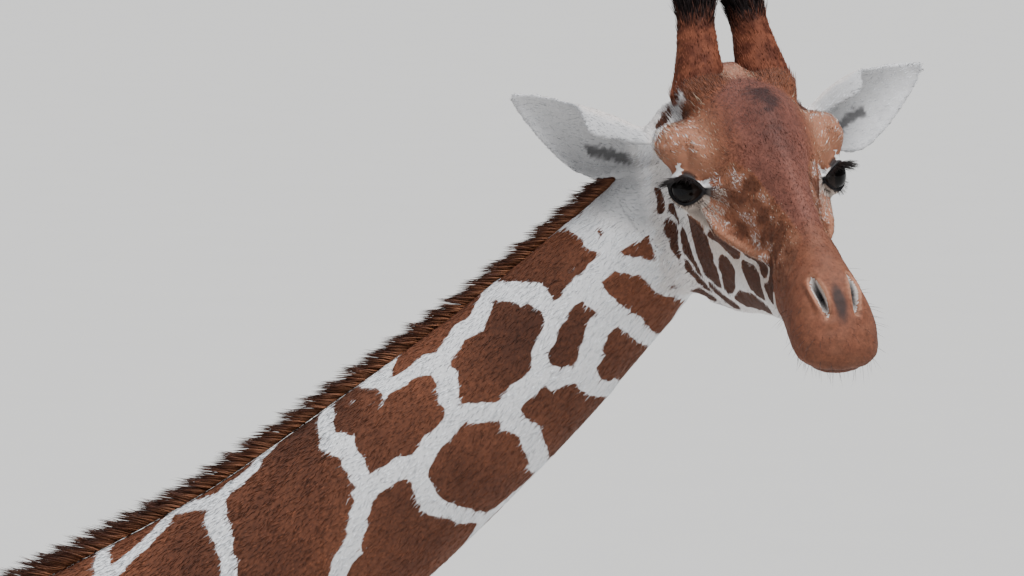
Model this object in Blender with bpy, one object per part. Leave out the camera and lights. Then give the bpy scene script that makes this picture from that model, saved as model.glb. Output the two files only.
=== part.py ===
"""A standing reticulated giraffe, life size, as one still model in named pieces.

Metres, +Z up. The body faces +X, so its right side is at -Y. The neck reaches forward and up, and the
head is turned to the animal's right. All four hooves stand on the plane Z = 0, and the origin is on that
plane under the middle of the whole animal.

Each soft part is a loft: a round primitive whose rings are carried through a table of stations. The
lofts are merged into one flesh, which is thinned and parted by thin plane cuts.
"""

import math

import bmesh
import bpy
import numpy as np
from mathutils import Matrix, Vector

# ---------------------------------------------------------------- driving sizes
GAP = 0.0003  # between neighbouring solids
BODY_VOXEL, HEAD_VOXEL = 0.016, 0.009  # grids on which the lofts are merged
SMOOTH_ROUNDS = 14

# The eyes' midpoint is the head's origin, and the head is turned from the body's heading.
HEAD_ORIGIN = Vector((1.977, -0.104, 3.418))
HEAD_YAW, HEAD_PITCH, HEAD_ROLL = (math.radians(a) for a in (-59.2, 22.6, 3.9))
EYE_RADIUS, EYE_SIDE, EYE_RISE = 0.028, 0.104, 0.001
EYE_FACING = (0.64, 0.76, 0.14)  # outward, for the left eye, in the head's axes
EYE_OPENING = (0.026, 0.033, 0.023)  # half sizes of the hollow before the eye: deep, wide, high

NECK_SLOPE = math.radians(41.0)  # of the upper neck's axis above the horizon

HOOF_HEIGHT = 0.10
LEG_TOP = 1.60  # where the legs part from the trunk
MIDWAY = -0.10  # between the fore and the hind legs, along the body

# ---------------------------------------------------------------- tables of stations
# Trunk and neck, rump first: back point x, z; belly or throat point x, z; half width; where the widest
# level is, as a share of the depth from the back.
BODY = [
    (-0.800, 2.100, -0.800, 2.040, 0.020, 0.50),
    (-0.770, 2.180, -0.790, 1.900, 0.105, 0.45),
    (-0.700, 2.250, -0.725, 1.830, 0.175, 0.45),
    (-0.580, 2.305, -0.600, 1.780, 0.225, 0.45),
    (-0.380, 2.352, -0.380, 1.750, 0.265, 0.50),
    (-0.130, 2.398, -0.100, 1.695, 0.298, 0.56),
    (0.120, 2.465, 0.250, 1.670, 0.302, 0.58),
    (0.340, 2.555, 0.560, 1.735, 0.264, 0.58),
    (0.500, 2.625, 0.780, 1.920, 0.224, 0.58),
    (0.650, 2.690, 0.945, 2.150, 0.194, 0.56),
    (0.800, 2.762, 1.065, 2.350, 0.168, 0.54),
    (0.955, 2.841, 1.190, 2.520, 0.140, 0.52),
    (1.135, 2.944, 1.345, 2.690, 0.118, 0.50),
    (1.335, 3.086, 1.528, 2.864, 0.101, 0.50),
    (1.530, 3.229, 1.697, 3.038, 0.088, 0.50),
    (1.722, 3.390, 1.860, 3.230, 0.079, 0.50),
    (1.800, 3.455, 1.918, 3.310, 0.072, 0.50),
    (1.858, 3.488, 1.944, 3.390, 0.058, 0.50),
    (1.905, 3.470, 1.930, 3.438, 0.014, 0.50),
]
MANE_FROM, MANE_TO = 7, 17  # rows of BODY, from the withers to the poll
# Head, in its own axes (forward, left, up) from the eyes' midpoint, back first: forward; crown and
# throat heights; half width; widest level; how far the jaw and the roof draw in.
HEAD = [
    (-0.205, 0.045, 0.005, 0.015, 0.50, 0.00, 0.00),
    (-0.190, 0.080, -0.060, 0.060, 0.45, 0.10, 0.05),
    (-0.150, 0.106, -0.150, 0.086, 0.42, 0.16, 0.06),
    (-0.100, 0.119, -0.208, 0.098, 0.40, 0.18, 0.04),
    (-0.050, 0.126, -0.223, 0.107, 0.38, 0.22, 0.04),
    (0.000, 0.126, -0.213, 0.107, 0.38, 0.24, 0.16),
    (0.040, 0.117, -0.194, 0.092, 0.42, 0.24, 0.32),
    (0.080, 0.100, -0.174, 0.073, 0.46, 0.22, 0.36),
    (0.130, 0.080, -0.152, 0.056, 0.48, 0.20, 0.38),
    (0.180, 0.061, -0.134, 0.050, 0.50, 0.18, 0.34),
    (0.240, 0.040, -0.121, 0.052, 0.52, 0.14, 0.24),
    (0.290, 0.023, -0.118, 0.059, 0.55, 0.10, 0.15),
    (0.330, 0.004, -0.116, 0.064, 0.58, 0.08, 0.10),
    (0.360, -0.019, -0.112, 0.059, 0.60, 0.05, 0.05),
    (0.383, -0.047, -0.101, 0.041, 0.55, 0.00, 0.00),
    (0.393, -0.069, -0.077, 0.010, 0.50, 0.00, 0.00),
]
# Legs, top first: height; forward offset from the hoof; half length fore and aft; half width.
FORE_LEG = [
    (2.004, -0.010, 0.060, 0.030),
    (1.962, -0.010, 0.130, 0.062),
    (1.793, -0.035, 0.135, 0.078),
    (1.635, -0.045, 0.108, 0.074),
    (1.424, -0.035, 0.080, 0.062),
    (1.161, -0.025, 0.060, 0.050),
    (1.013, -0.020, 0.057, 0.050),
    (0.907, -0.016, 0.060, 0.055),
    (0.812, -0.022, 0.050, 0.046),
    (0.633, -0.030, 0.038, 0.034),
    (0.369, -0.034, 0.037, 0.034),
    (0.230, -0.036, 0.048, 0.043),
    (0.170, -0.026, 0.047, 0.043),
    (0.120, -0.010, 0.050, 0.045),
    (0.080, 0.002, 0.058, 0.050),
    (0.060, 0.004, 0.020, 0.018),
]
HIND_LEG = [
    (2.004, 0.100, 0.060, 0.030),
    (1.962, 0.110, 0.160, 0.062),
    (1.793, 0.140, 0.190, 0.086),
    (1.635, 0.150, 0.160, 0.086),
    (1.477, 0.122, 0.120, 0.070),
    (1.266, 0.052, 0.082, 0.054),
    (1.076, -0.020, 0.062, 0.043),
    (0.950, -0.066, 0.066, 0.044),
    (0.865, -0.076, 0.060, 0.045),
    (0.760, -0.068, 0.046, 0.040),
    (0.580, -0.058, 0.040, 0.034),
    (0.369, -0.050, 0.039, 0.034),
    (0.230, -0.046, 0.049, 0.042),
    (0.170, -0.032, 0.047, 0.042),
    (0.120, -0.012, 0.050, 0.044),
    (0.080, 0.002, 0.057, 0.049),
    (0.060, 0.004, 0.020, 0.018),
]
# Where each hoof stands: forward and left of the body's centre line.
STANCE = {
    "front_right": (0.520, -0.160),
    "front_left": (0.440, 0.160),
    "hind_right": (-0.640, -0.160),
    "hind_left": (-0.550, 0.160),
}
# Muscles that the merge takes in: centre, half sizes, pitch in degrees. Each is mirrored left to right.
MUSCLES = {
    "shoulder": ((0.510, 0.118, 2.200), (0.140, 0.100, 0.340), -24),
    "upper_arm": ((0.560, 0.145, 1.880), (0.120, 0.078, 0.220), 34),
    "haunch": ((-0.500, 0.128, 1.930), (0.200, 0.106, 0.310), -22),
    "stifle": ((-0.370, 0.155, 1.700), (0.110, 0.078, 0.180), -20),
}
# Bony parts of the head: centre (forward, left, up), half sizes, and the turn of the forward end towards
# the middle in degrees; all but the forehead are paired.
SKULL_BUMPS = {
    "brow": ((-0.042, 0.101, 0.044), (0.058, 0.042, 0.034), 12),
    "cheekbone": ((0.070, 0.072, -0.036), (0.085, 0.022, 0.018), 22),
    "jaw_muscle": ((-0.080, 0.066, -0.105), (0.070, 0.034, 0.075), 0),
    "ear_root": ((-0.135, 0.080, 0.022), (0.042, 0.042, 0.044), 0),
    "horn_root": ((-0.116, 0.050, 0.084), (0.054, 0.042, 0.042), 0),
    "forehead": ((-0.010, 0.000, 0.106), (0.058, 0.036, 0.030), 0),
    "jaw_angle": ((-0.080, 0.034, -0.180), (0.075, 0.036, 0.045), 0),
    "crown": ((-0.140, 0.000, 0.086), (0.048, 0.050, 0.034), 0),
}
TAIL_PATH = [(-0.70, 2.16), (-0.79, 2.15), (-0.845, 2.05), (-0.86, 1.86), (-0.85, 1.42)]
TAIL_RADII = [0.046, 0.042, 0.030, 0.021, 0.013]
TUFT = [  # height, half length, half width
    (0.000, 0.011, 0.011),
    (-0.060, 0.026, 0.024),
    (-0.220, 0.045, 0.040),
    (-0.420, 0.050, 0.044),
    (-0.560, 0.034, 0.030),
    (-0.640, 0.008, 0.008),
]
HOOF = [  # height, forward offset, half length, half width
    (HOOF_HEIGHT, -0.004, 0.050, 0.046),
    (0.070, 0.004, 0.064, 0.055),
    (0.030, 0.012, 0.077, 0.063),
    (0.000, 0.016, 0.082, 0.066),
]
EAR_LENGTH, EAR_THICK = 0.244, 0.006
EAR_ROOT = (-0.127, 0.098, 0.004)
EAR_AXIS = {"right": (-0.172, 0.223, 0.023), "left": (-0.064, 0.223, 0.058)}
EAR_FACING = {"right": (0.95, 0.46, 0.11), "left": (0.95, -0.44, 0.23)}
EAR_SAG = {"right": 0.038, "left": 0.021}  # how far the leaf's middle hangs below the line from root to tip
# Along an ear from root to tip: share of the length, half width, and how far round the upper and the
# lower edge curl, in degrees.
EAR = [
    (0.00, 0.023, 165, 120),
    (0.20, 0.036, 137, 64),
    (0.40, 0.051, 131, 57),
    (0.60, 0.045, 71, 47),
    (0.80, 0.031, 44, 38),
    (0.93, 0.018, 28, 29),
    (1.00, 0.009, 20, 20),
]
HORN_ROOT = (-0.118, 0.052, 0.068)
HORN_AXIS = (-0.62, -0.10, 0.775)
HORN = [  # distance from the root, radius
    (0.000, 0.004),
    (0.000, 0.044),
    (0.045, 0.0415),
    (0.085, 0.034),
    (0.130, 0.030),
    (0.165, 0.032),
    (0.190, 0.029),
    (0.202, 0.008),
]
MANE_RISE, MANE_HALF = 0.040, 0.014  # the rise at the withers
MANE_DROP = 0.6  # the share of its rise that the mane has lost at the poll
CLEFT_WIDTH, CLEFT_START = 0.007, 0.025  # between a hoof's toes, and how far before its middle it starts
BUDGET = {  # triangles
    "head": 2100,
    "neck": 800,
    "trunk": 1400,
    "leg_front_right": 340,
    "leg_front_left": 340,
    "leg_hind_right": 350,
    "leg_hind_left": 350,
}
COLOURS = {  # colour, roughness
    "coat": ((0.42, 0.19, 0.09), 0.85),
    "pale_hair": ((0.80, 0.78, 0.74), 0.85),
    "dark_hair": ((0.10, 0.05, 0.03), 0.80),
    "eye": ((0.02, 0.012, 0.01), 0.08),
    "hoof": ((0.07, 0.055, 0.05), 0.55),
}


# ---------------------------------------------------------------- small tools
def clear_scene():
    for obj in list(bpy.data.objects):
        bpy.data.objects.remove(obj)


def finish_of(name):
    material = bpy.data.materials.get(name)
    if material is None:
        colour, roughness = COLOURS[name]
        material = bpy.data.materials.new(name)
        material.use_nodes = True
        shader = material.node_tree.nodes["Principled BSDF"]
        shader.inputs["Base Color"].default_value = (*colour, 1.0)
        shader.inputs["Roughness"].default_value = roughness
    return material


def made_object(name, mesh, finish):
    obj = bpy.data.objects.new(name, mesh)
    mesh.materials.clear()
    mesh.materials.append(finish_of(finish))
    bpy.context.scene.collection.objects.link(obj)
    return obj


def made_cutter(name, mesh):
    cutter = made_object(name, mesh, "coat")
    cutter.hide_render = True
    cutter.display_type = "WIRE"
    return cutter


def cut_by(obj, cutter):
    modifier = obj.modifiers.new("cut", "BOOLEAN")
    modifier.object = cutter
    modifier.operation = "DIFFERENCE"


def as_mesh(bm, name="shape"):
    mesh = bpy.data.meshes.new(name)
    bm.to_mesh(mesh)
    bm.free()
    return mesh


def with_modifier(mesh, kind, **settings):
    """The mesh as this modifier leaves it."""
    helper = bpy.data.objects.new("helper", mesh)
    bpy.context.scene.collection.objects.link(helper)
    modifier = helper.modifiers.new(kind, kind)
    for key, value in settings.items():
        setattr(modifier, key, value)
    bpy.context.view_layer.update()
    graph = bpy.context.evaluated_depsgraph_get()
    done = bpy.data.meshes.new_from_object(helper.evaluated_get(graph))
    bpy.data.objects.remove(helper)
    return done


def merged(meshes, voxel):
    """One skin round all of these."""
    bm = bmesh.new()
    for mesh in meshes:
        bm.from_mesh(mesh)
    return with_modifier(as_mesh(bm), "REMESH", mode="VOXEL", voxel_size=voxel)


def smoothed(mesh, rounds):
    return with_modifier(mesh, "SMOOTH", factor=0.5, iterations=rounds)


def swollen(mesh, by):
    return with_modifier(mesh, "DISPLACE", strength=by, mid_level=0.0)


def mirrored(point, side):
    """A place or a direction given for the left side, on the side that -1 (right) or 1 (left) tells."""
    return Vector((point[0], point[1] * side, point[2]))


def head_matrix():
    """From the head's own axes, forward, left and up, to the body's."""
    turn = (
        Matrix.Rotation(HEAD_YAW, 4, "Z")
        @ Matrix.Rotation(HEAD_PITCH, 4, "Y")
        @ Matrix.Rotation(HEAD_ROLL, 4, "X")
    )
    return Matrix.Translation(HEAD_ORIGIN) @ turn


def moved(points, matrix):
    turn = np.array(matrix)
    return points @ turn[:3, :3].T + turn[:3, 3]


def through(table, places):
    """The table's columns at these places of its first column, on a smooth cubic through its rows."""
    rows = np.array(table, float)
    knots, values = rows[:, 0], rows[:, 1:]
    step = np.diff(knots)[:, None]
    slope = np.diff(values, axis=0) / step
    ends = np.vstack([slope[:1], slope, slope[-1:]])
    spans = np.vstack([step[:1], step, step[-1:]])
    tangent = (ends[:-1] * spans[1:] + ends[1:] * spans[:-1]) / (spans[:-1] + spans[1:])
    row = np.clip(np.searchsorted(knots, places, side="right") - 1, 0, len(knots) - 2)
    t = ((places - knots[row]) / step[row, 0])[:, None]
    before, after = tangent[row] * step[row], tangent[row + 1] * step[row]
    return (
        values[row] * (1 + 2 * t) * (1 - t) ** 2
        + before * t * (1 - t) ** 2
        + values[row + 1] * t * t * (3 - 2 * t)
        - after * t * t * (1 - t)
    )


def numbered(rows):
    """Rows with their place in the table, from 0 to 1, put before them."""
    return [(i / (len(rows) - 1), *row) for i, row in enumerate(rows)]


def loft(rings, sides, shape):
    """A closed mesh from a sphere: shape(along, angle) gives the points for a share along the loft and an
    angle round it. Along runs from 0 to 1; angle 0 is the top and pi / 2 the left side."""
    bm = bmesh.new()
    bmesh.ops.create_uvsphere(bm, u_segments=sides, v_segments=rings, radius=1.0)
    at = np.array([v.co for v in bm.verts])
    along = np.arccos(np.clip(at[:, 2], -1, 1)) / math.pi
    angle = np.arctan2(at[:, 1], at[:, 0])
    for vert, place in zip(bm.verts, shape(along, angle)):
        vert.co = place
    bmesh.ops.recalc_face_normals(bm, faces=bm.faces)
    return as_mesh(bm)


def ellipsoid(centre, halves, turn, sides=24):
    bm = bmesh.new()
    bmesh.ops.create_uvsphere(bm, u_segments=sides, v_segments=sides // 2, radius=1.0)
    matrix = Matrix.Translation(centre) @ turn @ Matrix.Diagonal((*halves, 1.0))
    bmesh.ops.transform(bm, matrix=matrix, verts=bm.verts)
    return as_mesh(bm)


# ---------------------------------------------------------------- the flesh
def depth_share(level, rise):
    """How far down from the back a point lies, when rise runs from 1 at the back to -1 at the belly and is
    0 at the widest level."""
    return np.where(rise > 0, level * (1 - rise), level - (1 - level) * rise)


def body_shape(along, angle):
    back_x, back_z, belly_x, belly_z, width, level = through(numbered(BODY), along).T
    share = depth_share(level, np.cos(angle))
    x = back_x + (belly_x - back_x) * share
    z = back_z + (belly_z - back_z) * share
    return np.stack([x, width * np.sin(angle), z], axis=1)


def head_shape(along, angle):
    rows = numbered(HEAD)
    forward, crown, throat, width, level, jaw, roof = through(rows, along).T
    rise, out = np.cos(angle), np.sin(angle)
    up = crown + (throat - crown) * depth_share(level, rise)
    drawn_in = 1 - np.where(rise > 0, roof, jaw) * np.abs(rise) ** 1.5
    left = width * np.sign(out) * np.abs(out) ** 0.88 * drawn_in
    return moved(np.stack([forward, left, up], axis=1), head_matrix())


def leg_shape(table, stance):
    forward, left = STANCE[stance]

    def shape(along, angle):
        height, offset, length, width = through(numbered(table), along).T
        x = forward + offset + length * np.cos(angle)
        return np.stack([x, left + width * np.sin(angle), height], axis=1)

    return shape


def muscle_meshes():
    meshes = []
    for centre, halves, pitch in MUSCLES.values():
        turn = Matrix.Rotation(math.radians(pitch), 4, "Y")
        meshes += [ellipsoid(mirrored(centre, side), halves, turn) for side in (-1, 1)]
    return meshes


def skull_meshes():
    meshes = []
    for centre, halves, inward in SKULL_BUMPS.values():
        for side in (-1, 1) if centre[1] else (1,):
            turn = Matrix.Rotation(math.radians(-inward * side), 4, "Z")
            mesh = ellipsoid(mirrored(centre, side), halves, turn)
            mesh.transform(head_matrix())
            meshes.append(mesh)
    return meshes


def flesh_mesh():
    """The body's lofts merged coarsely, which blends the muscles in, and then the head's with them."""
    body = [loft(110, 56, body_shape), *muscle_meshes()]
    for stance in STANCE:
        table = FORE_LEG if stance.startswith("front") else HIND_LEG
        body.append(loft(48, 24, leg_shape(table, stance)))
    body = smoothed(merged(body, BODY_VOXEL), SMOOTH_ROUNDS)
    head = [loft(64, 56, head_shape), *skull_meshes()]
    return smoothed(merged([body, *head], HEAD_VOXEL), SMOOTH_ROUNDS // 2)


# ---------------------------------------------------------------- parting the flesh
def head_plane():
    """Behind the jaw, square to a line between the neck's way and the head's."""
    forward = head_matrix().to_3x3() @ Vector((0.75, 0, 0.30))
    neck = Vector((math.cos(NECK_SLOPE), 0, math.sin(NECK_SLOPE)))
    return head_matrix() @ Vector((-0.150, 0.0, -0.045)), (forward + neck).normalized()


NECK_PLANE = (Vector((0.80, 0, 2.48)), Vector((0.62, 0, 0.785)).normalized())
LEG_PLANE = (Vector((0, 0, LEG_TOP)), Vector((0, 0, -1)))
CORONET = (Vector((0, 0, HOOF_HEIGHT)), Vector((0, 0, 1)))


def flipped(plane):
    return plane[0], -plane[1]


def edge_of(plane):
    """A point where a piece on the plane's far side ends, half the gap beyond it."""
    return plane[0] + plane[1] * GAP / 2


def cut_off(mesh, plane):
    """A copy with only what lies on the plane's far side, its cut left open."""
    bm = bmesh.new()
    bm.from_mesh(mesh)
    everything = [*bm.verts, *bm.edges, *bm.faces]
    bmesh.ops.bisect_plane(
        bm, geom=everything, plane_co=edge_of(plane), plane_no=plane[1], clear_inner=True
    )
    return as_mesh(bm)


def only_quarter(mesh, stance):
    """The leg that stands nearest to this place of the stance."""
    forward, left = STANCE[stance]
    bm = bmesh.new()
    bm.from_mesh(mesh)
    others = [
        v
        for v in bm.verts
        if (v.co.x > MIDWAY) != (forward > MIDWAY) or (v.co.y > 0) != (left > 0)
    ]
    bmesh.ops.delete(bm, geom=others, context="VERTS")
    return as_mesh(bm)


def closed_up(mesh, triangles, planes):
    """Thinned to about that many triangles, its open rims put back on their planes and capped."""
    share = triangles / sum(len(face.vertices) - 2 for face in mesh.polygons)
    bm = bmesh.new()
    bm.from_mesh(with_modifier(mesh, "DECIMATE", ratio=share))
    for vert in [v for v in bm.verts if v.is_boundary]:
        short_by = [(edge_of(plane) - vert.co).dot(plane[1]) for plane in planes]
        nearest = min(range(len(planes)), key=lambda i: abs(short_by[i]))
        vert.co += planes[nearest][1] * short_by[nearest]
    bmesh.ops.remove_doubles(bm, verts=bm.verts, dist=GAP)
    bmesh.ops.holes_fill(bm, edges=[e for e in bm.edges if e.is_boundary], sides=0)
    bmesh.ops.triangulate(bm, faces=bm.faces)
    bmesh.ops.recalc_face_normals(bm, faces=bm.faces)
    if bm.calc_volume(signed=True) < 0:
        bmesh.ops.reverse_faces(bm, faces=bm.faces)
    return as_mesh(bm)


def flesh_nodes():
    flesh = flesh_mesh()
    behind_jaw = head_plane()
    neck = cut_off(cut_off(flesh, flipped(behind_jaw)), NECK_PLANE)
    rest = cut_off(flesh, flipped(NECK_PLANE))
    legs = cut_off(cut_off(rest, LEG_PLANE), CORONET)
    parted = {
        "head": (cut_off(flesh, behind_jaw), [behind_jaw]),
        "neck": (neck, [flipped(behind_jaw), NECK_PLANE]),
        "trunk": (
            cut_off(rest, flipped(LEG_PLANE)),
            [flipped(LEG_PLANE), flipped(NECK_PLANE)],
        ),
    }
    for stance in STANCE:
        parted[f"leg_{stance}"] = (only_quarter(legs, stance), [LEG_PLANE, CORONET])
    return {
        name: made_object(name, closed_up(mesh, BUDGET[name], planes), "coat")
        for name, (mesh, planes) in parted.items()
    }


# ---------------------------------------------------------------- pieces set in or on the flesh
def eye_object(side, word, head):
    """An eyeball, and the hollow in the head that holds it and opens in front of it."""
    centre = mirrored((0, EYE_SIDE, EYE_RISE), side)
    facing = mirrored(EYE_FACING, side).normalized()
    turn = facing.to_track_quat("X", "Z").to_matrix().to_4x4()
    shapes = {
        "ball": (centre, [EYE_RADIUS] * 3),
        "socket": (centre, [EYE_RADIUS + 2 * GAP] * 3),
        "opening": (centre + facing * EYE_RADIUS * 1.35, EYE_OPENING),
    }
    meshes = {}
    for part, (place, halves) in shapes.items():
        meshes[part] = ellipsoid(place, halves, turn, 12)
        meshes[part].transform(head_matrix())
    for part in ("socket", "opening"):
        cut_by(head, made_cutter(f"eye_{word}_{part}", meshes[part]))
    return made_object(f"eye_{word}", meshes["ball"], "eye")


def ear_object(side, word, cutters):
    """A leaf that is rolled into a tube at its root: a flat grid bent round, then thickened."""
    axis = mirrored(EAR_AXIS[word], side).normalized()
    facing = mirrored(EAR_FACING[word], side)
    facing = (facing - axis * facing.dot(axis)).normalized()
    upward = facing.cross(axis) * side
    bm = bmesh.new()
    bmesh.ops.create_grid(bm, x_segments=8, y_segments=6, size=1.0)
    for vert in bm.verts:
        along, across = (vert.co.x + 1) / 2, vert.co.y
        half, upper, lower = through(EAR, np.array([along]))[0]
        curl = math.radians(upper if across > 0 else lower) * across
        radius = half / max(math.sin(min(math.radians(lower), math.pi / 2)), 0.5)
        vert.co = (
            mirrored(EAR_ROOT, side)
            + axis * EAR_LENGTH * along
            + upward * (radius * math.sin(curl) - EAR_SAG[word] * math.sin(math.pi * along))
            + facing * radius * (0.4 - math.cos(curl))
        )
    bmesh.ops.transform(bm, matrix=head_matrix(), verts=bm.verts)
    thick = with_modifier(as_mesh(bm), "SOLIDIFY", thickness=EAR_THICK, offset=0.0)
    ear = made_object(f"ear_{word}", thick, "pale_hair")
    for cutter in cutters:
        cut_by(ear, cutter)
    return ear


def ossicone_object(side, word, cutter):
    """A blunt, skin-covered horn, a little wider at its root and its knob."""
    turn = mirrored(HORN_AXIS, side).to_track_quat("Z", "X").to_matrix().to_4x4()
    place = head_matrix() @ Matrix.Translation(mirrored(HORN_ROOT, side)) @ turn

    def shape(along, angle):
        height, radius = through(numbered(HORN), along).T
        out = [radius * np.cos(angle), radius * np.sin(angle), height]
        return moved(np.stack(out, axis=1), place)

    horn = made_object(f"ossicone_{word}", loft(9, 12, shape), "coat")
    cut_by(horn, cutter)
    return horn


def ridge_shape(path, rise_at, half_at):
    """Points round a line in the body's middle plane, with half sizes away from it and to the side."""
    rows = numbered(path)

    def shape(along, angle):
        line = through(rows, along)
        ahead = through(rows, np.clip(along + 0.01, 0, 1))
        behind = through(rows, np.clip(along - 0.01, 0, 1))
        way = (ahead - behind) / np.linalg.norm(ahead - behind, axis=1, keepdims=True)
        rise = rise_at(along) * np.cos(angle)
        side = half_at(along) * np.sin(angle)
        x = line[:, 0] - way[:, 1] * rise
        return np.stack([x, side, line[:, 1] + way[:, 0] * rise], axis=1)

    return shape


def mane_object():
    """A low upright crest along the back of the neck, from the withers to the poll."""

    def tapered(along):
        return np.clip(np.minimum(along, 1 - along) / 0.06, 0, 1) ** 0.5

    shape = ridge_shape(
        [row[:2] for row in BODY[MANE_FROM:MANE_TO]],
        lambda along: MANE_RISE * (1 - MANE_DROP * along) * tapered(along),
        lambda along: MANE_HALF * tapered(along),
    )
    return made_object("mane", loft(24, 8, shape), "dark_hair")


def tail_object(cutter):
    radii = numbered([(radius,) for radius in TAIL_RADII])

    def radius_at(along):
        return through(radii, along)[:, 0] * np.sqrt(1 - (2 * along - 1) ** 16)

    shape = ridge_shape(TAIL_PATH, radius_at, radius_at)
    tail = made_object("tail", loft(12, 8, shape), "coat")
    cut_by(tail, cutter)
    return tail


def tuft_object():
    tail_x, tail_z = TAIL_PATH[-1]

    def shape(along, angle):
        height, length, width = through(numbered(TUFT), along).T
        x = tail_x + length * np.cos(angle)
        return np.stack([x, width * np.sin(angle), tail_z - GAP + height], axis=1)

    return made_object("tail_tuft", loft(10, 10, shape), "dark_hair")


def hoof_object(stance):
    """A low cone cut flat above and below, with the cleft between its two toes cut in from the front."""
    forward, left = STANCE[stance]
    bm = bmesh.new()
    bmesh.ops.create_cone(
        bm, cap_ends=True, segments=16, radius1=1.0, radius2=1.0, depth=1.0
    )
    upright = [e for e in bm.edges if e.verts[0].co.z * e.verts[1].co.z < 0]
    bmesh.ops.subdivide_edges(bm, edges=upright, cuts=4, use_grid_fill=True)
    for vert in bm.verts:
        share_down = np.array([0.5 - vert.co.z])
        height, offset, length, width = through(numbered(HOOF), share_down)[0]
        x, y = forward + offset + length * vert.co.x, left + width * vert.co.y
        vert.co = (x, y, height)
    hoof = made_object(f"hoof_{stance}", as_mesh(bm), "hoof")
    bm = bmesh.new()
    bmesh.ops.create_cube(bm, size=1.0)
    bmesh.ops.scale(bm, vec=(0.10, CLEFT_WIDTH, 0.20), verts=bm.verts)
    middle = (forward + CLEFT_START + 0.05, left, -0.02)
    bmesh.ops.translate(bm, vec=middle, verts=bm.verts)
    cut_by(hoof, made_cutter(f"hoof_{stance}_cleft", as_mesh(bm)))
    return hoof


# ---------------------------------------------------------------- the whole animal
def centre_over_origin(objects):
    """Shifts everything so that the whole animal's box is centred over the origin."""
    bpy.context.view_layer.update()
    graph = bpy.context.evaluated_depsgraph_get()
    points = np.vstack(
        [[v.co for v in obj.evaluated_get(graph).data.vertices] for obj in objects]
    )
    middle = (points.min(0) + points.max(0)) / 2
    shift = Matrix.Translation((-middle[0], -middle[1], 0))
    for obj in bpy.data.objects:
        obj.data.transform(shift)


def main():
    clear_scene()
    nodes = flesh_nodes()
    around = {
        name: made_cutter(f"around_{name}", swollen(nodes[name].data, GAP * 2))
        for name in ("head", "neck", "trunk")
    }
    made = list(nodes.values())
    for side, word in ((-1, "right"), (1, "left")):
        made.append(eye_object(side, word, nodes["head"]))
        made.append(ear_object(side, word, [around["head"], around["neck"]]))
        made.append(ossicone_object(side, word, around["head"]))
    mane = mane_object()
    for word in EAR_AXIS:
        ear = swollen(bpy.data.objects[f"ear_{word}"].data, GAP * 2)
        around[f"ear_{word}"] = made_cutter(f"around_ear_{word}", ear)
    for cutter in around.values():
        cut_by(mane, cutter)
    made += [mane, tail_object(around["trunk"]), tuft_object()]
    made += [hoof_object(stance) for stance in STANCE]
    centre_over_origin(made)
    for obj in bpy.data.objects:
        obj.data.shade_smooth()


main()
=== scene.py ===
"""A standing reticulated giraffe, life size: skin, coat, eyes, lashes, ossicones, mane, tail and hooves.

Body axes: metres, +X the way the body faces, +Z up, the right side at -Y, y = 0 the middle plane. The
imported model's frame is the same but for a level shift, which is found from the right eye. Head axes:
forward, left and up from the middle between the eyes.
"""

import math
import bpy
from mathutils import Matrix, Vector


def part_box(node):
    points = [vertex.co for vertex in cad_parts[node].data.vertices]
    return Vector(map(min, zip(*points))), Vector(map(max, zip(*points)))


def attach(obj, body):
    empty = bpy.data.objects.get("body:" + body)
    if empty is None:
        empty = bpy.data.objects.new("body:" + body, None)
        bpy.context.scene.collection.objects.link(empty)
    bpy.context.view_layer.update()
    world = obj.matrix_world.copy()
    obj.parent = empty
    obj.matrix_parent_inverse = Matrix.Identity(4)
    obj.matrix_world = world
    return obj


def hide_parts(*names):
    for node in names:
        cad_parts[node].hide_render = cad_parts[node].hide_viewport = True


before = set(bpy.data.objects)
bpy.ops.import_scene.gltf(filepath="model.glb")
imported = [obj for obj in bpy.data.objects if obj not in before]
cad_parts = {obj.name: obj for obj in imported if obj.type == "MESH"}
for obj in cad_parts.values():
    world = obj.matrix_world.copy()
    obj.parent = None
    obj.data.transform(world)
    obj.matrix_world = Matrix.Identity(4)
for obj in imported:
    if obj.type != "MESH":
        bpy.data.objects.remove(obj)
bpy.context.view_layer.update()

from types import SimpleNamespace

import bmesh
import bpy
import numpy as np
from bpy.props import FloatProperty, FloatVectorProperty, IntProperty, PointerProperty
from mathutils import Matrix, Vector, kdtree

bl_info = {
    "name": "Reticulated Giraffe",
    "version": (1, 0, 0),
    "blender": (4, 5, 0),
    "location": "View3D > Sidebar > Giraffe",
    "description": "Builds a life-size reticulated giraffe with its skin, coat, mane, eyes and hooves",
    "category": "Object",
}

# -------- sizes shared with the solids
BODY_VOXEL = 0.018  # the grid on which the body's lofts are merged
SMOOTH_ROUNDS = 14
HEAD_ORIGIN = Vector((1.977, -0.104, 3.418))
HEAD_YAW, HEAD_PITCH, HEAD_ROLL = (math.radians(a) for a in (-59.2, 22.6, 3.9))
NECK_SLOPE = math.radians(41.0)
EYE_CENTRE = Vector((0.0, 0.104, 0.001))  # the left eye's, in head axes
HOOF_HEIGHT = 0.1
SIDES = {"right": -1, "left": 1}
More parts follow.
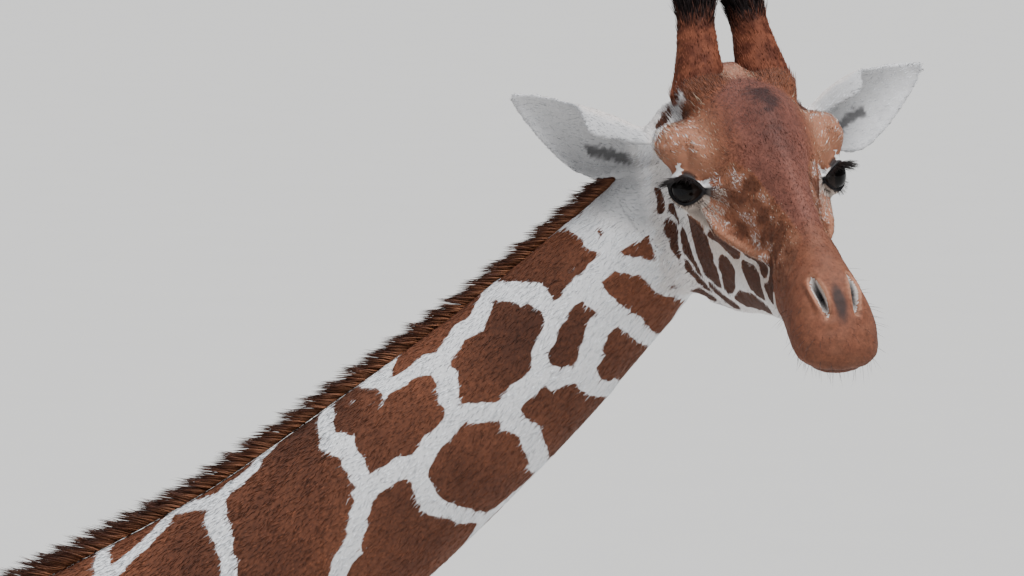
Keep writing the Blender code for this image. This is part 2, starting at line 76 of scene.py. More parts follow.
# Trunk and neck, rump first: back point x, z; belly or throat point x, z; half width; where the widest
# level is, as a share of the depth from the back.
BODY = [
    (-0.8, 2.1, -0.8, 2.04, 0.02, 0.5), (-0.77, 2.18, -0.79, 1.9, 0.105, 0.45),
    (-0.7, 2.25, -0.725, 1.83, 0.175, 0.45), (-0.58, 2.305, -0.6, 1.78, 0.225, 0.45),
    (-0.38, 2.352, -0.38, 1.75, 0.265, 0.5), (-0.13, 2.398, -0.1, 1.695, 0.298, 0.56),
    (0.12, 2.465, 0.25, 1.67, 0.302, 0.58), (0.34, 2.555, 0.56, 1.735, 0.264, 0.58),
    (0.5, 2.625, 0.78, 1.92, 0.224, 0.58), (0.65, 2.69, 0.945, 2.15, 0.194, 0.56),
    (0.8, 2.762, 1.065, 2.35, 0.168, 0.54), (0.955, 2.841, 1.19, 2.52, 0.14, 0.52),
    (1.135, 2.944, 1.345, 2.69, 0.118, 0.5), (1.335, 3.086, 1.528, 2.864, 0.101, 0.5),
    (1.53, 3.229, 1.697, 3.038, 0.088, 0.5), (1.722, 3.39, 1.86, 3.23, 0.079, 0.5),
    (1.8, 3.455, 1.918, 3.31, 0.072, 0.5), (1.858, 3.488, 1.944, 3.39, 0.058, 0.5),
    (1.905, 3.47, 1.93, 3.438, 0.014, 0.5),
]
WITHERS, POLL = 7, 17  # rows of BODY
# Head, back first: forward; crown and throat heights; half width; widest level; how far the jaw and the
# roof draw in.
HEAD = [
    (-0.205, 0.045, 0.005, 0.015, 0.5, 0.0, 0.0), (-0.19, 0.08, -0.06, 0.06, 0.45, 0.1, 0.05),
    (-0.15, 0.106, -0.15, 0.086, 0.42, 0.16, 0.06), (-0.1, 0.119, -0.208, 0.098, 0.4, 0.18, 0.04),
    (-0.05, 0.126, -0.223, 0.107, 0.38, 0.22, 0.04), (0.0, 0.126, -0.213, 0.107, 0.38, 0.24, 0.16),
    (0.04, 0.117, -0.194, 0.092, 0.42, 0.24, 0.32), (0.08, 0.1, -0.174, 0.073, 0.46, 0.22, 0.36),
    (0.13, 0.08, -0.152, 0.056, 0.48, 0.2, 0.38), (0.18, 0.061, -0.134, 0.05, 0.5, 0.18, 0.34),
    (0.24, 0.04, -0.121, 0.052, 0.52, 0.14, 0.24), (0.29, 0.023, -0.118, 0.059, 0.55, 0.1, 0.15),
    (0.33, 0.004, -0.116, 0.064, 0.58, 0.08, 0.1), (0.36, -0.019, -0.112, 0.059, 0.6, 0.05, 0.05),
    (0.383, -0.047, -0.101, 0.041, 0.55, 0.0, 0.0), (0.393, -0.069, -0.077, 0.01, 0.5, 0.0, 0.0),
]
# Legs, top first: height; forward offset from the hoof; half length fore and aft; half width.
FORE_LEG = [
    (2.004, -0.01, 0.06, 0.03), (1.962, -0.01, 0.13, 0.062), (1.793, -0.035, 0.135, 0.078),
    (1.635, -0.045, 0.108, 0.074), (1.424, -0.035, 0.08, 0.062), (1.161, -0.025, 0.06, 0.05),
    (1.013, -0.02, 0.057, 0.05), (0.907, -0.016, 0.06, 0.055), (0.812, -0.022, 0.05, 0.046),
    (0.633, -0.03, 0.038, 0.034), (0.369, -0.034, 0.037, 0.034), (0.23, -0.036, 0.048, 0.043),
    (0.17, -0.026, 0.047, 0.043), (0.12, -0.01, 0.05, 0.045), (0.08, 0.002, 0.058, 0.05),
    (0.06, 0.004, 0.02, 0.018),
]
HIND_LEG = [
    (2.004, 0.1, 0.06, 0.03), (1.962, 0.11, 0.16, 0.062), (1.793, 0.14, 0.19, 0.086),
    (1.635, 0.15, 0.16, 0.086), (1.477, 0.122, 0.12, 0.07), (1.266, 0.052, 0.082, 0.054),
    (1.076, -0.02, 0.062, 0.043), (0.95, -0.066, 0.066, 0.044), (0.865, -0.076, 0.06, 0.045),
    (0.76, -0.068, 0.046, 0.04), (0.58, -0.058, 0.04, 0.034), (0.369, -0.05, 0.039, 0.034),
    (0.23, -0.046, 0.049, 0.042), (0.17, -0.032, 0.047, 0.042), (0.12, -0.012, 0.05, 0.044),
    (0.08, 0.002, 0.057, 0.049), (0.06, 0.004, 0.02, 0.018),
]
STANCE = {  # where each hoof stands
    "front_right": (0.52, -0.16),
    "front_left": (0.44, 0.16),
    "hind_right": (-0.64, -0.16),
    "hind_left": (-0.55, 0.16),
}
LEGS = {stance: FORE_LEG if stance.startswith("front") else HIND_LEG for stance in STANCE}
# Muscles: centre, half sizes, pitch in degrees. Each is mirrored left to right.
MUSCLES = {
    "shoulder": ((0.51, 0.118, 2.2), (0.14, 0.1, 0.34), -24),
    "upper_arm": ((0.56, 0.145, 1.88), (0.12, 0.078, 0.22), 34),
    "haunch": ((-0.5, 0.128, 1.93), (0.2, 0.106, 0.31), -22),
    "stifle": ((-0.37, 0.155, 1.7), (0.11, 0.078, 0.18), -20),
}
# Bony parts of the head: centre, half sizes, inward turn in degrees; those off the middle are paired.
SKULL_BUMPS = {
    "brow": ((-0.042, 0.101, 0.044), (0.058, 0.042, 0.034), 12),
    "cheekbone": ((0.07, 0.072, -0.036), (0.085, 0.022, 0.018), 22),
    "jaw_muscle": ((-0.08, 0.066, -0.105), (0.07, 0.034, 0.075), 0),
    "ear_root": ((-0.135, 0.08, 0.022), (0.042, 0.042, 0.044), 0),
    "horn_root": ((-0.116, 0.05, 0.084), (0.054, 0.042, 0.042), 0),
    "forehead": ((-0.01, 0.0, 0.106), (0.058, 0.036, 0.03), 0),
    "jaw_angle": ((-0.08, 0.034, -0.18), (0.075, 0.036, 0.045), 0),
    "crown": ((-0.14, 0.0, 0.086), (0.048, 0.05, 0.034), 0),
}
TAIL_PATH = [(-0.7, 2.16), (-0.79, 2.15), (-0.845, 2.05), (-0.86, 1.86), (-0.85, 1.42)]
TAIL_RADII = [0.046, 0.042, 0.03, 0.021, 0.013]
TASSEL_DROP = 0.64  # from the tail's end to its tassel's
HOOF = [  # height, forward offset, half length, half width
    (HOOF_HEIGHT, -0.004, 0.05, 0.046), (0.07, 0.004, 0.064, 0.055), (0.03, 0.012, 0.077, 0.063),
    (0.0, 0.016, 0.082, 0.066),
]
EAR_LENGTH = 0.244
EAR_ROOT = (-0.127, 0.098, 0.004)  # in head axes; on the right all three are mirrored
EAR_AXIS = {"right": (-0.172, 0.223, 0.023), "left": (-0.064, 0.223, 0.058)}
EAR_FACING = {"right": (0.95, 0.46, 0.11), "left": (0.95, -0.44, 0.23)}
EAR_FRINGE = {  # the dark hair by the ear's canal, in head axes
    "right": [
        (-0.15, 0.125, -0.03), (-0.163, 0.133, -0.034), (-0.18, 0.142, -0.039),
        (-0.205, 0.16, -0.042), (-0.221, 0.178, -0.043),
    ],
    "left": [
        (-0.155, 0.165, -0.022), (-0.165, 0.183, -0.016), (-0.17, 0.193, -0.012),
        (-0.178, 0.208, -0.006), (-0.183, 0.225, -0.001),
    ],
}
EAR_SAG = {"right": 0.038, "left": 0.021}
# Along an ear: share of the length, half width, curl of the upper and the lower edge in degrees.
EAR = [
    (0.0, 0.023, 165, 120), (0.2, 0.036, 137, 64), (0.4, 0.051, 131, 57), (0.6, 0.045, 71, 47),
    (0.8, 0.031, 44, 38), (0.93, 0.018, 28, 29), (1.0, 0.009, 20, 20),
]
HORN_ROOT = (-0.118, 0.052, 0.068)
HORN_AXIS = (-0.62, -0.1, 0.775)
HORN_FOOT = (-0.118, 0.066)  # the middle of the long hair round it: forward, off the middle plane
HORN = [  # distance from the root, radius
    (0.0, 0.004), (0.0, 0.044), (0.045, 0.0415), (0.085, 0.034), (0.13, 0.03), (0.165, 0.032),
    (0.19, 0.029), (0.202, 0.008),
]
HORN_LENGTH = HORN[-1][0]
MANE_HALF = 0.014  # half the breadth of the band that the mane grows from

# -------- sizes of the skin
HEAD_GRID = 0.0044  # of the head's skin
EAR_THICK = 0.0065
HEAD_ROUNDS, EAR_ROUNDS_SHARE = 54, 0.12  # of smoothing, and the ears' share of it
SEAM_GAP = 0.004  # half the width of the band that joins two stretches of skin
NECK_WAY = Vector((math.cos(NECK_SLOPE), 0, math.sin(NECK_SLOPE)))
# Where the skin's stretches meet: a point of the plane, and its way on.
HEAD_SEAM = (Vector((1.78, 0.0, 3.364)), NECK_WAY)
NECK_SEAM = (Vector((0.8, 0, 2.48)), Vector((0.62, 0, 0.785)).normalized())
TAIL_SEAM = (Vector((-0.855, 0, 1.95)), Vector((0, 0, -1)))
LID_FACING = (0.64, 0.76, 0.18)  # the way the left eye's lids open
LID_TILT = math.radians(20)  # of the inner corner above the head's forward way
LID_REACH = math.radians(61)  # half the slit's width, seen from the eye's centre
LID_SHIFT = math.radians(10)  # of the slit's middle towards the nose
LID_UP, LID_DOWN = math.radians(38), math.radians(38)  # how far the lids open from the slit's line
EYE_RADIUS = 0.028


# -------- small tools
def as_mesh(bm, name="shape"):
    mesh = bpy.data.meshes.new(name)
    bm.to_mesh(mesh)
    bm.free()
    return mesh


def with_modifier(mesh, kind, group=None, **settings):
    """The mesh as this modifier leaves it. The group holds a weight for each vertex."""
    helper = bpy.data.objects.new("helper", mesh)
    bpy.context.scene.collection.objects.link(helper)
    modifier = helper.modifiers.new(kind, kind)
    for key, value in settings.items():
        setattr(modifier, key, value)
    if group is not None:
        weights = helper.vertex_groups.new(name="reach")
        for weight in np.unique(group):
            weights.add(np.flatnonzero(group == weight).tolist(), float(weight), "REPLACE")
        modifier.vertex_group = "reach"
    bpy.context.view_layer.update()
    graph = bpy.context.evaluated_depsgraph_get()
    done = bpy.data.meshes.new_from_object(helper.evaluated_get(graph))
    bpy.data.objects.remove(helper)
    return done


def subdivided(mesh, levels):
    return with_modifier(mesh, "SUBSURF", levels=levels, render_levels=levels)


def merged(meshes, voxel):
    bm = bmesh.new()
    for mesh in meshes:
        bm.from_mesh(mesh)
    return with_modifier(as_mesh(bm), "REMESH", mode="VOXEL", voxel_size=voxel)


def smoothed(mesh, rounds, group=None):
    return with_modifier(mesh, "SMOOTH", group, factor=0.5, iterations=rounds)


def mirrored(point, side):
    return Vector((point[0], point[1] * side, point[2]))


def head_matrix():
    """From the head's axes to the body's."""
    turn = (
        Matrix.Rotation(HEAD_YAW, 4, "Z")
        @ Matrix.Rotation(HEAD_PITCH, 4, "Y")
        @ Matrix.Rotation(HEAD_ROLL, 4, "X")
    )
    return Matrix.Translation(HEAD_ORIGIN) @ turn


def columns(*values):
    return np.stack(values, axis=1)


def moved(points, matrix):
    turn = np.array(matrix)
    return points @ turn[:3, :3].T + turn[:3, 3]


def to_head(points):
    return moved(points, head_matrix().inverted())


def from_head(ways):
    """Ways in head axes, turned to the body's."""
    return ways @ np.array(head_matrix())[:3, :3].T


def folded(at):
    """Points in head axes, those on the right mirrored to the left."""
    return columns(at[:, 0], np.abs(at[:, 1]), at[:, 2])


def past_plane(plane, points):
    """How far beyond a seam's plane points lie."""
    return (points - np.array(plane[0])) @ np.array(plane[1])


def far(gaps):
    return np.linalg.norm(gaps, axis=1)


def unit(vectors):
    return vectors / np.maximum(np.linalg.norm(vectors, axis=-1, keepdims=True), 1e-9)


def step(low, high, values):
    """0 below low, 1 above high and smooth between them; high may be the lower of the two."""
    share = np.clip((values - low) / (high - low), 0, 1)
    return share * share * (3 - 2 * share)


def hump(values, middle, half):
    """1 at the middle, falling smoothly to 0 at half on each side."""
    return step(1, 0, np.abs(values - middle) / half)


def ripple(points, wavelength, seed, waves=7):
    """A soft wave pattern through space, roughly from -1 to 1."""
    rng = np.random.default_rng(seed)
    ways = unit(rng.normal(size=(waves, 3))) * 2 * math.pi / wavelength
    ways *= rng.uniform(0.7, 1.4, (waves, 1))
    return np.sin(points @ ways.T + rng.uniform(0, 6.28, waves)).sum(1) / waves * 1.6


def through(table, places):
    """The table's columns at these places of its first column, on a smooth cubic through its rows."""
    rows = np.array(table, float)
    knots, values = rows[:, 0], rows[:, 1:]
    gap = np.diff(knots)[:, None]
    slope = np.diff(values, axis=0) / gap
    ends = np.vstack([slope[:1], slope, slope[-1:]])
    spans = np.vstack([gap[:1], gap, gap[-1:]])
    tangent = (ends[:-1] * spans[1:] + ends[1:] * spans[:-1]) / (spans[:-1] + spans[1:])
    row = np.clip(np.searchsorted(knots, places, side="right") - 1, 0, len(knots) - 2)
    t = ((places - knots[row]) / gap[row, 0])[:, None]
    before, after = tangent[row] * gap[row], tangent[row + 1] * gap[row]
    return (
        values[row] * (1 + 2 * t) * (1 - t) ** 2
        + before * t * (1 - t) ** 2
        + values[row + 1] * t * t * (3 - 2 * t)
        - after * t * t * (1 - t)
    )


def numbered(rows):
    return [(i / (len(rows) - 1), *row) for i, row in enumerate(rows)]


def loft(rings, sides, shape):
    """A closed mesh from a sphere: shape(along, angle) gives the points for a share along the loft and an
    angle round it."""
    bm = bmesh.new()
    bmesh.ops.create_uvsphere(bm, u_segments=sides, v_segments=rings, radius=1.0)
    at = np.array([v.co for v in bm.verts])
    along = np.arccos(np.clip(at[:, 2], -1, 1)) / math.pi
    angle = np.arctan2(at[:, 1], at[:, 0])
    for vert, place in zip(bm.verts, shape(along, angle)):
        vert.co = place
    bmesh.ops.recalc_face_normals(bm, faces=bm.faces)
    return as_mesh(bm)


def ellipsoid(centre, halves, turn, sides):
    bm = bmesh.new()
    bmesh.ops.create_uvsphere(bm, u_segments=sides, v_segments=sides // 2, radius=1.0)
    matrix = Matrix.Translation(centre) @ turn @ Matrix.Diagonal((*halves, 1.0))
    bmesh.ops.transform(bm, matrix=matrix, verts=bm.verts)
    return as_mesh(bm)


def points_of(mesh, key="co"):
    values = np.empty(len(mesh.vertices) * 3, np.float32)
    mesh.vertices.foreach_get(key, values)
    return values.reshape(-1, 3).astype(float)


def normals_of(mesh):
    return points_of(mesh, "normal")


def set_points(mesh, points):
    mesh.vertices.foreach_set("co", points.astype(np.float32).ravel())
    mesh.update()


def add_layer(mesh, name, values):
    layer = mesh.attributes.new(name, "FLOAT", "POINT")
    layer.data.foreach_set("value", np.asarray(values, np.float32))


def tree_of(points):
    """A tree that finds the nearest of these points."""
    tree = kdtree.KDTree(len(points))
    for number, place in enumerate(points):
        tree.insert(place, number)
    tree.balance()
    return tree


def row_shift():
    """From the body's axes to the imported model's frame."""
    low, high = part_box("eye_right")
    return Matrix.Translation((low + high) / 2 - head_matrix() @ mirrored(EYE_CENTRE, -1))


def in_place(name, mesh, material, slot, *nodes):
    """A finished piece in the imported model's frame, which stands for these CAD nodes."""
    mesh.transform(row_shift())
    mesh.materials.clear()
    mesh.materials.append(material)
    mesh.shade_smooth()
    piece = bpy.data.objects.new(name, mesh)
    bpy.context.scene.collection.objects.link(piece)
    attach(piece, "root")
    if nodes:
        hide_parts(*nodes)
    return piece


# -------- lofts
def depth_share(level, rise):
    return np.where(rise > 0, level * (1 - rise), level - (1 - level) * rise)


def body_shape(along, angle):
    back_x, back_z, belly_x, belly_z, width, level = through(numbered(BODY), along).T
    share = depth_share(level, np.cos(angle))
    x = back_x + (belly_x - back_x) * share
    z = back_z + (belly_z - back_z) * share
    return columns(x, width * np.sin(angle), z)


def head_shape(along, angle):
    rows = numbered(HEAD)
    forward, crown, throat, width, level, jaw, roof = through(rows, along).T
    rise, out = np.cos(angle), np.sin(angle)
    up = crown + (throat - crown) * depth_share(level, rise)
    drawn_in = 1 - np.where(rise > 0, roof, jaw) * np.abs(rise) ** 1.5
    left = width * np.sign(out) * np.abs(out) ** 0.88 * drawn_in
    return moved(columns(forward, left, up), head_matrix())


def leg_shape(stance):
    forward, left = STANCE[stance]

    def shape(along, angle):
        height, offset, length, width = through(numbered(LEGS[stance]), along).T
        x = forward + offset + length * np.cos(angle)
        return columns(x, left + width * np.sin(angle), height)

    return shape


def tail_shape(along, angle):
    rows = numbered(TAIL_PATH)
    line = through(rows, along)
    way = unit(through(rows, np.clip(along + 0.01, 0, 1)) - through(rows, np.clip(along - 0.01, 0, 1)))
    radius = tail_radius(along)
    rise = radius * np.cos(angle)
    x, z = line[:, 0] - way[:, 1] * rise, line[:, 1] + way[:, 0] * rise
    return columns(x, radius * np.sin(angle), z)


def tail_radius(along):
    radii = numbered([(radius,) for radius in TAIL_RADII])
    return through(radii, along)[:, 0] * np.sqrt(1 - (2 * along - 1) ** 16)


def bump_meshes(bumps, axis, sides):
    """Ellipsoids, each with its mirror image unless it's in the middle plane, turned about this axis."""
    meshes = []
    for centre, halves, degrees in bumps:
        for side in (-1, 1) if centre[1] else (1,):
            turn = Matrix.Rotation(math.radians(degrees if axis == "Y" else -degrees * side), 4, axis)
            meshes.append(ellipsoid(mirrored(centre, side), halves, turn, sides))
    return meshes


def skull_meshes():
    lids = (EYE_CENTRE, [EYE_RADIUS + 0.005] * 3, 0)
    meshes = bump_meshes([*SKULL_BUMPS.values(), lids], "Z", 40)
    for mesh in meshes:
        mesh.transform(head_matrix())
    return meshes


def ear_axes(word):
    """An ear's long axis, the way it opens and its upward edge, in head axes."""
    side = SIDES[word]
    axis = mirrored(EAR_AXIS[word], side).normalized()
    facing = mirrored(EAR_FACING[word], side)
    facing = (facing - axis * facing.dot(axis)).normalized()
    return axis, facing, facing.cross(axis) * side


def ear_mesh(word):
    """A leaf that is rolled into a tube at its root: a flat grid bent round, then thickened."""
    side = SIDES[word]
    axis, facing, upward = ear_axes(word)
    bm = bmesh.new()
    bmesh.ops.create_grid(bm, x_segments=56, y_segments=40, size=1.0)
    for vert in bm.verts:
        along, across = (vert.co.x + 1) / 2, vert.co.y
        half, upper, lower = through(EAR, np.array([along]))[0]
        curl = math.radians(upper if across > 0 else lower) * across
        radius = half / max(math.sin(min(math.radians(lower), math.pi / 2)), 0.5)
        vert.co = (
            mirrored(EAR_ROOT, side)
            + axis * EAR_LENGTH * along
            + upward * (radius * math.sin(curl) - EAR_SAG[word] * math.sin(math.pi * along))
            + facing * radius * (0.4 - math.cos(curl))
        )
    bmesh.ops.transform(bm, matrix=head_matrix(), verts=bm.verts)
    return with_modifier(as_mesh(bm), "SOLIDIFY", thickness=EAR_THICK, offset=0.0)


# -------- the skin
def flipped(plane):
    return plane[0], -plane[1]


def cut_off(mesh, plane, inside=None):
    """What lies beyond the plane, its cut left open. Where inside is given, only what it holds is cut."""
    bm = bmesh.new()
    bm.from_mesh(mesh)
    held = {v for v in bm.verts if inside is None or inside(v.co)}
    geom = [*held, *(e for e in bm.edges if held.issuperset(e.verts))]
    geom += [f for f in bm.faces if held.issuperset(f.verts)]
    start = plane[0] + plane[1] * SEAM_GAP
    bmesh.ops.bisect_plane(bm, geom=geom, plane_co=start, plane_no=plane[1], clear_inner=True)
    return as_mesh(bm)


def capped(mesh):
    bm = bmesh.new()
    bm.from_mesh(mesh)
    bmesh.ops.holes_fill(bm, edges=[e for e in bm.edges if e.is_boundary], sides=0)
    bmesh.ops.recalc_face_normals(bm, faces=bm.faces)
    return as_mesh(bm)


def grafted(kept, added, plane, reach):
    """Two open skins joined round the rims that each has by this plane, and smoothed over the join."""
    bm = bmesh.new()
    bm.from_mesh(kept)
    bm.from_mesh(added)

    def off(vert):
        return abs((vert.co - plane[0]).dot(plane[1]))

    rims = [e for e in bm.edges if e.is_boundary and max(off(v) for v in e.verts) < 3 * SEAM_GAP]
    middle = sum((e.verts[0].co for e in rims), Vector()) / len(rims)
    bmesh.ops.bridge_loops(bm, edges=rims)
    widest = max((e.verts[0].co - middle).length for e in rims) + reach
    band = [v for v in bm.verts if off(v) < reach and (v.co - middle).length < widest]
    for _ in range(6):
        bmesh.ops.smooth_vert(
            bm, verts=band, factor=0.5, use_axis_x=True, use_axis_y=True, use_axis_z=True
        )
    return as_mesh(bm)


def rough_flesh():
    lofts = [loft(110, 56, body_shape), *bump_meshes(MUSCLES.values(), "Y", 24)]
    lofts.append(loft(30, 16, tail_shape))
    lofts += [loft(48, 24, leg_shape(stance)) for stance in STANCE]
    return smoothed(merged(lofts, BODY_VOXEL), SMOOTH_ROUNDS)


def head_flesh(neck_stub):
    """Head and ears with the top of the neck, on a fine grid."""
    parts = [capped(neck_stub), loft(150, 120, head_shape), *skull_meshes()]
    parts += [ear_mesh(word) for word in SIDES]
    mesh = merged(parts, HEAD_GRID)
    at = to_head(points_of(mesh))
    on_ear = step(0.112, 0.15, np.abs(at[:, 1])) * step(-0.045, -0.075, at[:, 0])
    weights = np.round(1 - on_ear * (1 - EAR_ROUNDS_SHARE), 1)
    return smoothed(mesh, HEAD_ROUNDS, weights)


def whole_skin():
    rough = rough_flesh()
    behind = HEAD_SEAM[0] - HEAD_SEAM[1] * 0.04
    stub = subdivided(cut_off(rough, (behind, HEAD_SEAM[1])), 2)
    near_ears = tree_of(np.vstack([points_of(ear_mesh(word)) for word in SIDES]))
    head = cut_off(head_flesh(stub), HEAD_SEAM, lambda at: near_ears.find(at)[2] > 0.014)
    neck = subdivided(cut_off(cut_off(rough, NECK_SEAM), flipped(HEAD_SEAM)), 1)
    trunk = cut_off(rough, flipped(NECK_SEAM))
    trunk = cut_off(
        trunk, flipped(TAIL_SEAM), lambda at: at.x < -0.812 and abs(at.y) < 0.06 and at.z < 2.02
    )
    tail = cut_off(loft(60, 18, tail_shape), TAIL_SEAM)
    skin = grafted(trunk, tail, TAIL_SEAM, 0.03)
    skin = grafted(skin, neck, NECK_SEAM, 0.04)
    return grafted(skin, head, HEAD_SEAM, 0.03)


# -------- the face
SLIT = [  # a nostril's slit: share of its length, forward, off the middle, up
    (0.0, 0.297, 0.029, 0.008), (0.3, 0.315, 0.028, 0.002), (0.6, 0.334, 0.0255, -0.005),
    (0.8, 0.345, 0.024, -0.012), (1.0, 0.357, 0.0225, -0.021),
]
SLIT_HALF = 0.0042  # of a slit's breadth
SLIT_MIDDLE = (0.328, 0.026, -0.003)  # the left one's
EYE_FINE = 0.036  # how far round an eye the skin's faces are parted in four
SLIT_FINE = (0.034, 0.025)  # the same round a nostril, once and then again
MOUTH_START, MOUTH_HEIGHT = 0.232, -0.098


def lid_axes(side):
    """The ways out of the eye, along its slit towards the nose, and up across it, in head axes."""
    out = mirrored(LID_FACING, side).normalized()
    along = (Vector((1, 0, 0)) - out * out.x).normalized()
    up = along.cross(out) * side
    turned = along * math.cos(LID_TILT) + up * math.sin(LID_TILT)
    return out, turned, up * math.cos(LID_TILT) - along * math.sin(LID_TILT)


def lid_place(at, side):
    """For points in head axes: distance from the eye's centre, how far outside the slit they lie as an
    angle, height above the slit's line, and their way from the centre."""
    out, along, up = (np.array(axis) for axis in lid_axes(side))
    from_eye = at - np.array(mirrored(EYE_CENTRE, side))
    distance = far(from_eye)
    way = from_eye / np.maximum(distance, 1e-6)[:, None]
    round_ = np.arctan2(way @ along, way @ out) - LID_SHIFT
    high = np.arcsin(np.clip(way @ up, -1, 1))
    reach = np.abs(round_) / LID_REACH
    arch = np.cos(np.minimum(reach, 1) * math.pi / 2)
    beyond = np.maximum(high - LID_UP * arch**0.75, -high - LID_DOWN * arch**0.85)
    outside = np.where(reach < 1, beyond, np.hypot((reach - 1) * LID_REACH, high))
    return distance, outside, high, way, way @ out


def slit_distance(at, side):
    """How far points in head axes lie from a nostril's slit, how far along it, and whether outside it."""
    shares = np.linspace(0, 1, 40)
    line = through(SLIT, shares)
    line[:, 1] = line[:, 1] * side
    square = np.array([0.4, 0.4 * side, 0.83])
    apart = at[:, None] - line[None]
    deep = apart @ (square / np.linalg.norm(square))
    gaps = np.sqrt(np.maximum((apart**2).sum(2) - deep**2, 0)) + np.maximum(np.abs(deep) - 0.025, 0)
    nearest = gaps.argmin(1)
    return gaps.min(1), shares[nearest], (at[:, 1] - line[nearest, 1]) * side > 0


def finer(mesh, places, radius):
    """The mesh with its faces parted in four near these places."""
    bm = bmesh.new()
    bm.from_mesh(mesh)

    def near(edge):
        return any(all((v.co - place).length < radius for v in edge.verts) for place in places)

    edges = [e for e in bm.edges if near(e)]
    bmesh.ops.subdivide_edges(bm, edges=edges, cuts=1, use_grid_fill=True, smooth=0.0)
    bmesh.ops.triangulate(bm, faces=[f for f in bm.faces if len(f.verts) > 4])
    return as_mesh(bm)


def face_relief(at):
    """How far the skin rises over the smooth head at points in head axes."""
    mirror = folded(at)
    forward, wide, up = mirror.T
    rise = 0.0005 * ripple(at, 0.016, 3) + 0.0006 * ripple(at, 0.034, 4)
    # The mouth, and the upper lip that hangs a little over it.
    height = MOUTH_HEIGHT + 0.014 * step(0.27, MOUTH_START, forward)
    held = step(MOUTH_START - 0.006, MOUTH_START + 0.02, forward)
    rise -= 0.005 * held * hump(up, height, 0.0055)
    rise += 0.002 * held * hump(up, height + 0.014, 0.014)
    # Hollows above the eye and between the cheekbone and the nose, and the ridge down the nose.
    rise -= 0.0045 * hump(forward, 0.075, 0.075) * hump(up, 0.0, 0.03) * step(0.05, 0.07, wide)
    rise -= 0.004 * hump(forward, 0.175, 0.06) * hump(up, -0.055, 0.03)
    rise += 0.0025 * hump(forward, 0.13, 0.11) * hump(wide, 0.0, 0.022) * step(0.0, 0.03, up)
    # Veins and folds on the cheek, and the cheekbone's crest with the hollows beside it.
    wave = forward + 0.25 * up + 0.012 * ripple(at, 0.09, 5)
    cheek = step(-0.03, -0.06, up) * step(0.2, 0.12, forward) * step(0.03, 0.05, wide)
    rise += 0.0007 * cheek * np.sin(wave / 0.0105) ** 3
    rise += 0.0012 * cheek * step(0.004, -0.006, cell_margin(mirror))
    off = line_distance(mirror, CREST)
    rise += 0.0048 * hump(off, 0.0, 0.009) - 0.0026 * hump(off, 0.016, 0.01)
    rise -= 0.004 * hump(line_distance(mirror, NOSE_GROOVE), 0.0, 0.011)
    for side in (-1, 1):
        off, along, outside = slit_distance(at, side)
        deep = hump(along, 0.5, 0.6) ** 0.5
        rim = np.where(outside, 0.01, 0.0115)
        rise += (0.0042 * hump(off, rim, 0.008) - 0.013 * step(SLIT_HALF + 0.0022, 0.0, off)) * deep
    return rise


def press_lids(at, side):
    """Moves points in head axes onto an eye's lids, the folds under them and the fine rings round them."""
    distance, outside, high, way, facing = lid_place(at, side)
    near = (facing > -0.35) & (distance < 0.085)
    above, below = step(-0.05, 0.15, high), step(0.05, -0.15, high)
    lid = EYE_RADIUS - 0.003 + 0.0066 * step(-0.07, 0.035, outside)
    lid += 0.0022 * above * hump(outside, 0.17, 0.14) - 0.0032 * above * hump(outside, 0.38, 0.1)
    for fold in (0.26, 0.46, 0.66):
        lid -= 0.0016 * below * hump(outside, fold, 0.075)
    free = np.maximum(step(0.42, 1.05, outside), step(0.0, -0.35, facing))
    reach = lid * (1 - free) + np.maximum(distance, EYE_RADIUS - 0.003) * free
    eye = np.array(mirrored(EYE_CENTRE, side))
    at[near] = eye + way[near] * reach[near, None]
    ring = hump(outside, 1.05, 0.55) * (facing > 0)
    at += way * (0.0011 * ring * np.sin(outside * 21))[:, None] * near[:, None]


def shaped_face(mesh):
    """Lids, nostrils, mouth, folds and veins, pressed into the smooth head."""
    eyes = [head_matrix() @ (mirrored(EYE_CENTRE, s) + lid_axes(s)[0] * 0.022) for s in (-1, 1)]
    slits = [head_matrix() @ mirrored(SLIT_MIDDLE, s) for s in (-1, 1)]
    mesh = finer(mesh, eyes, EYE_FINE)
    for radius in SLIT_FINE:
        mesh = finer(mesh, slits, radius)
    body = points_of(mesh)
    ahead = np.flatnonzero(past_plane(HEAD_SEAM, body) > 0)
    at = to_head(body[ahead])
    out = normals_of(mesh)[ahead] @ np.array(head_matrix())[:3, :3]
    at = at + out * face_relief(at)[:, None]
    for side in (-1, 1):
        press_lids(at, side)
    body[ahead] = moved(at, head_matrix())
    set_points(mesh, body)
    return mesh


def coat_depth(points):
    """How deep the coat lies over the skin."""
    at = to_head(points)
    near_head = step(-0.3, -0.12, at[:, 0])
    depth = 0.0045 * (1 - near_head) + 0.0014 * near_head
    return depth * step(0.2, 0.12, np.abs(at[:, 1]) * near_head) * (1 - on_ears(at))


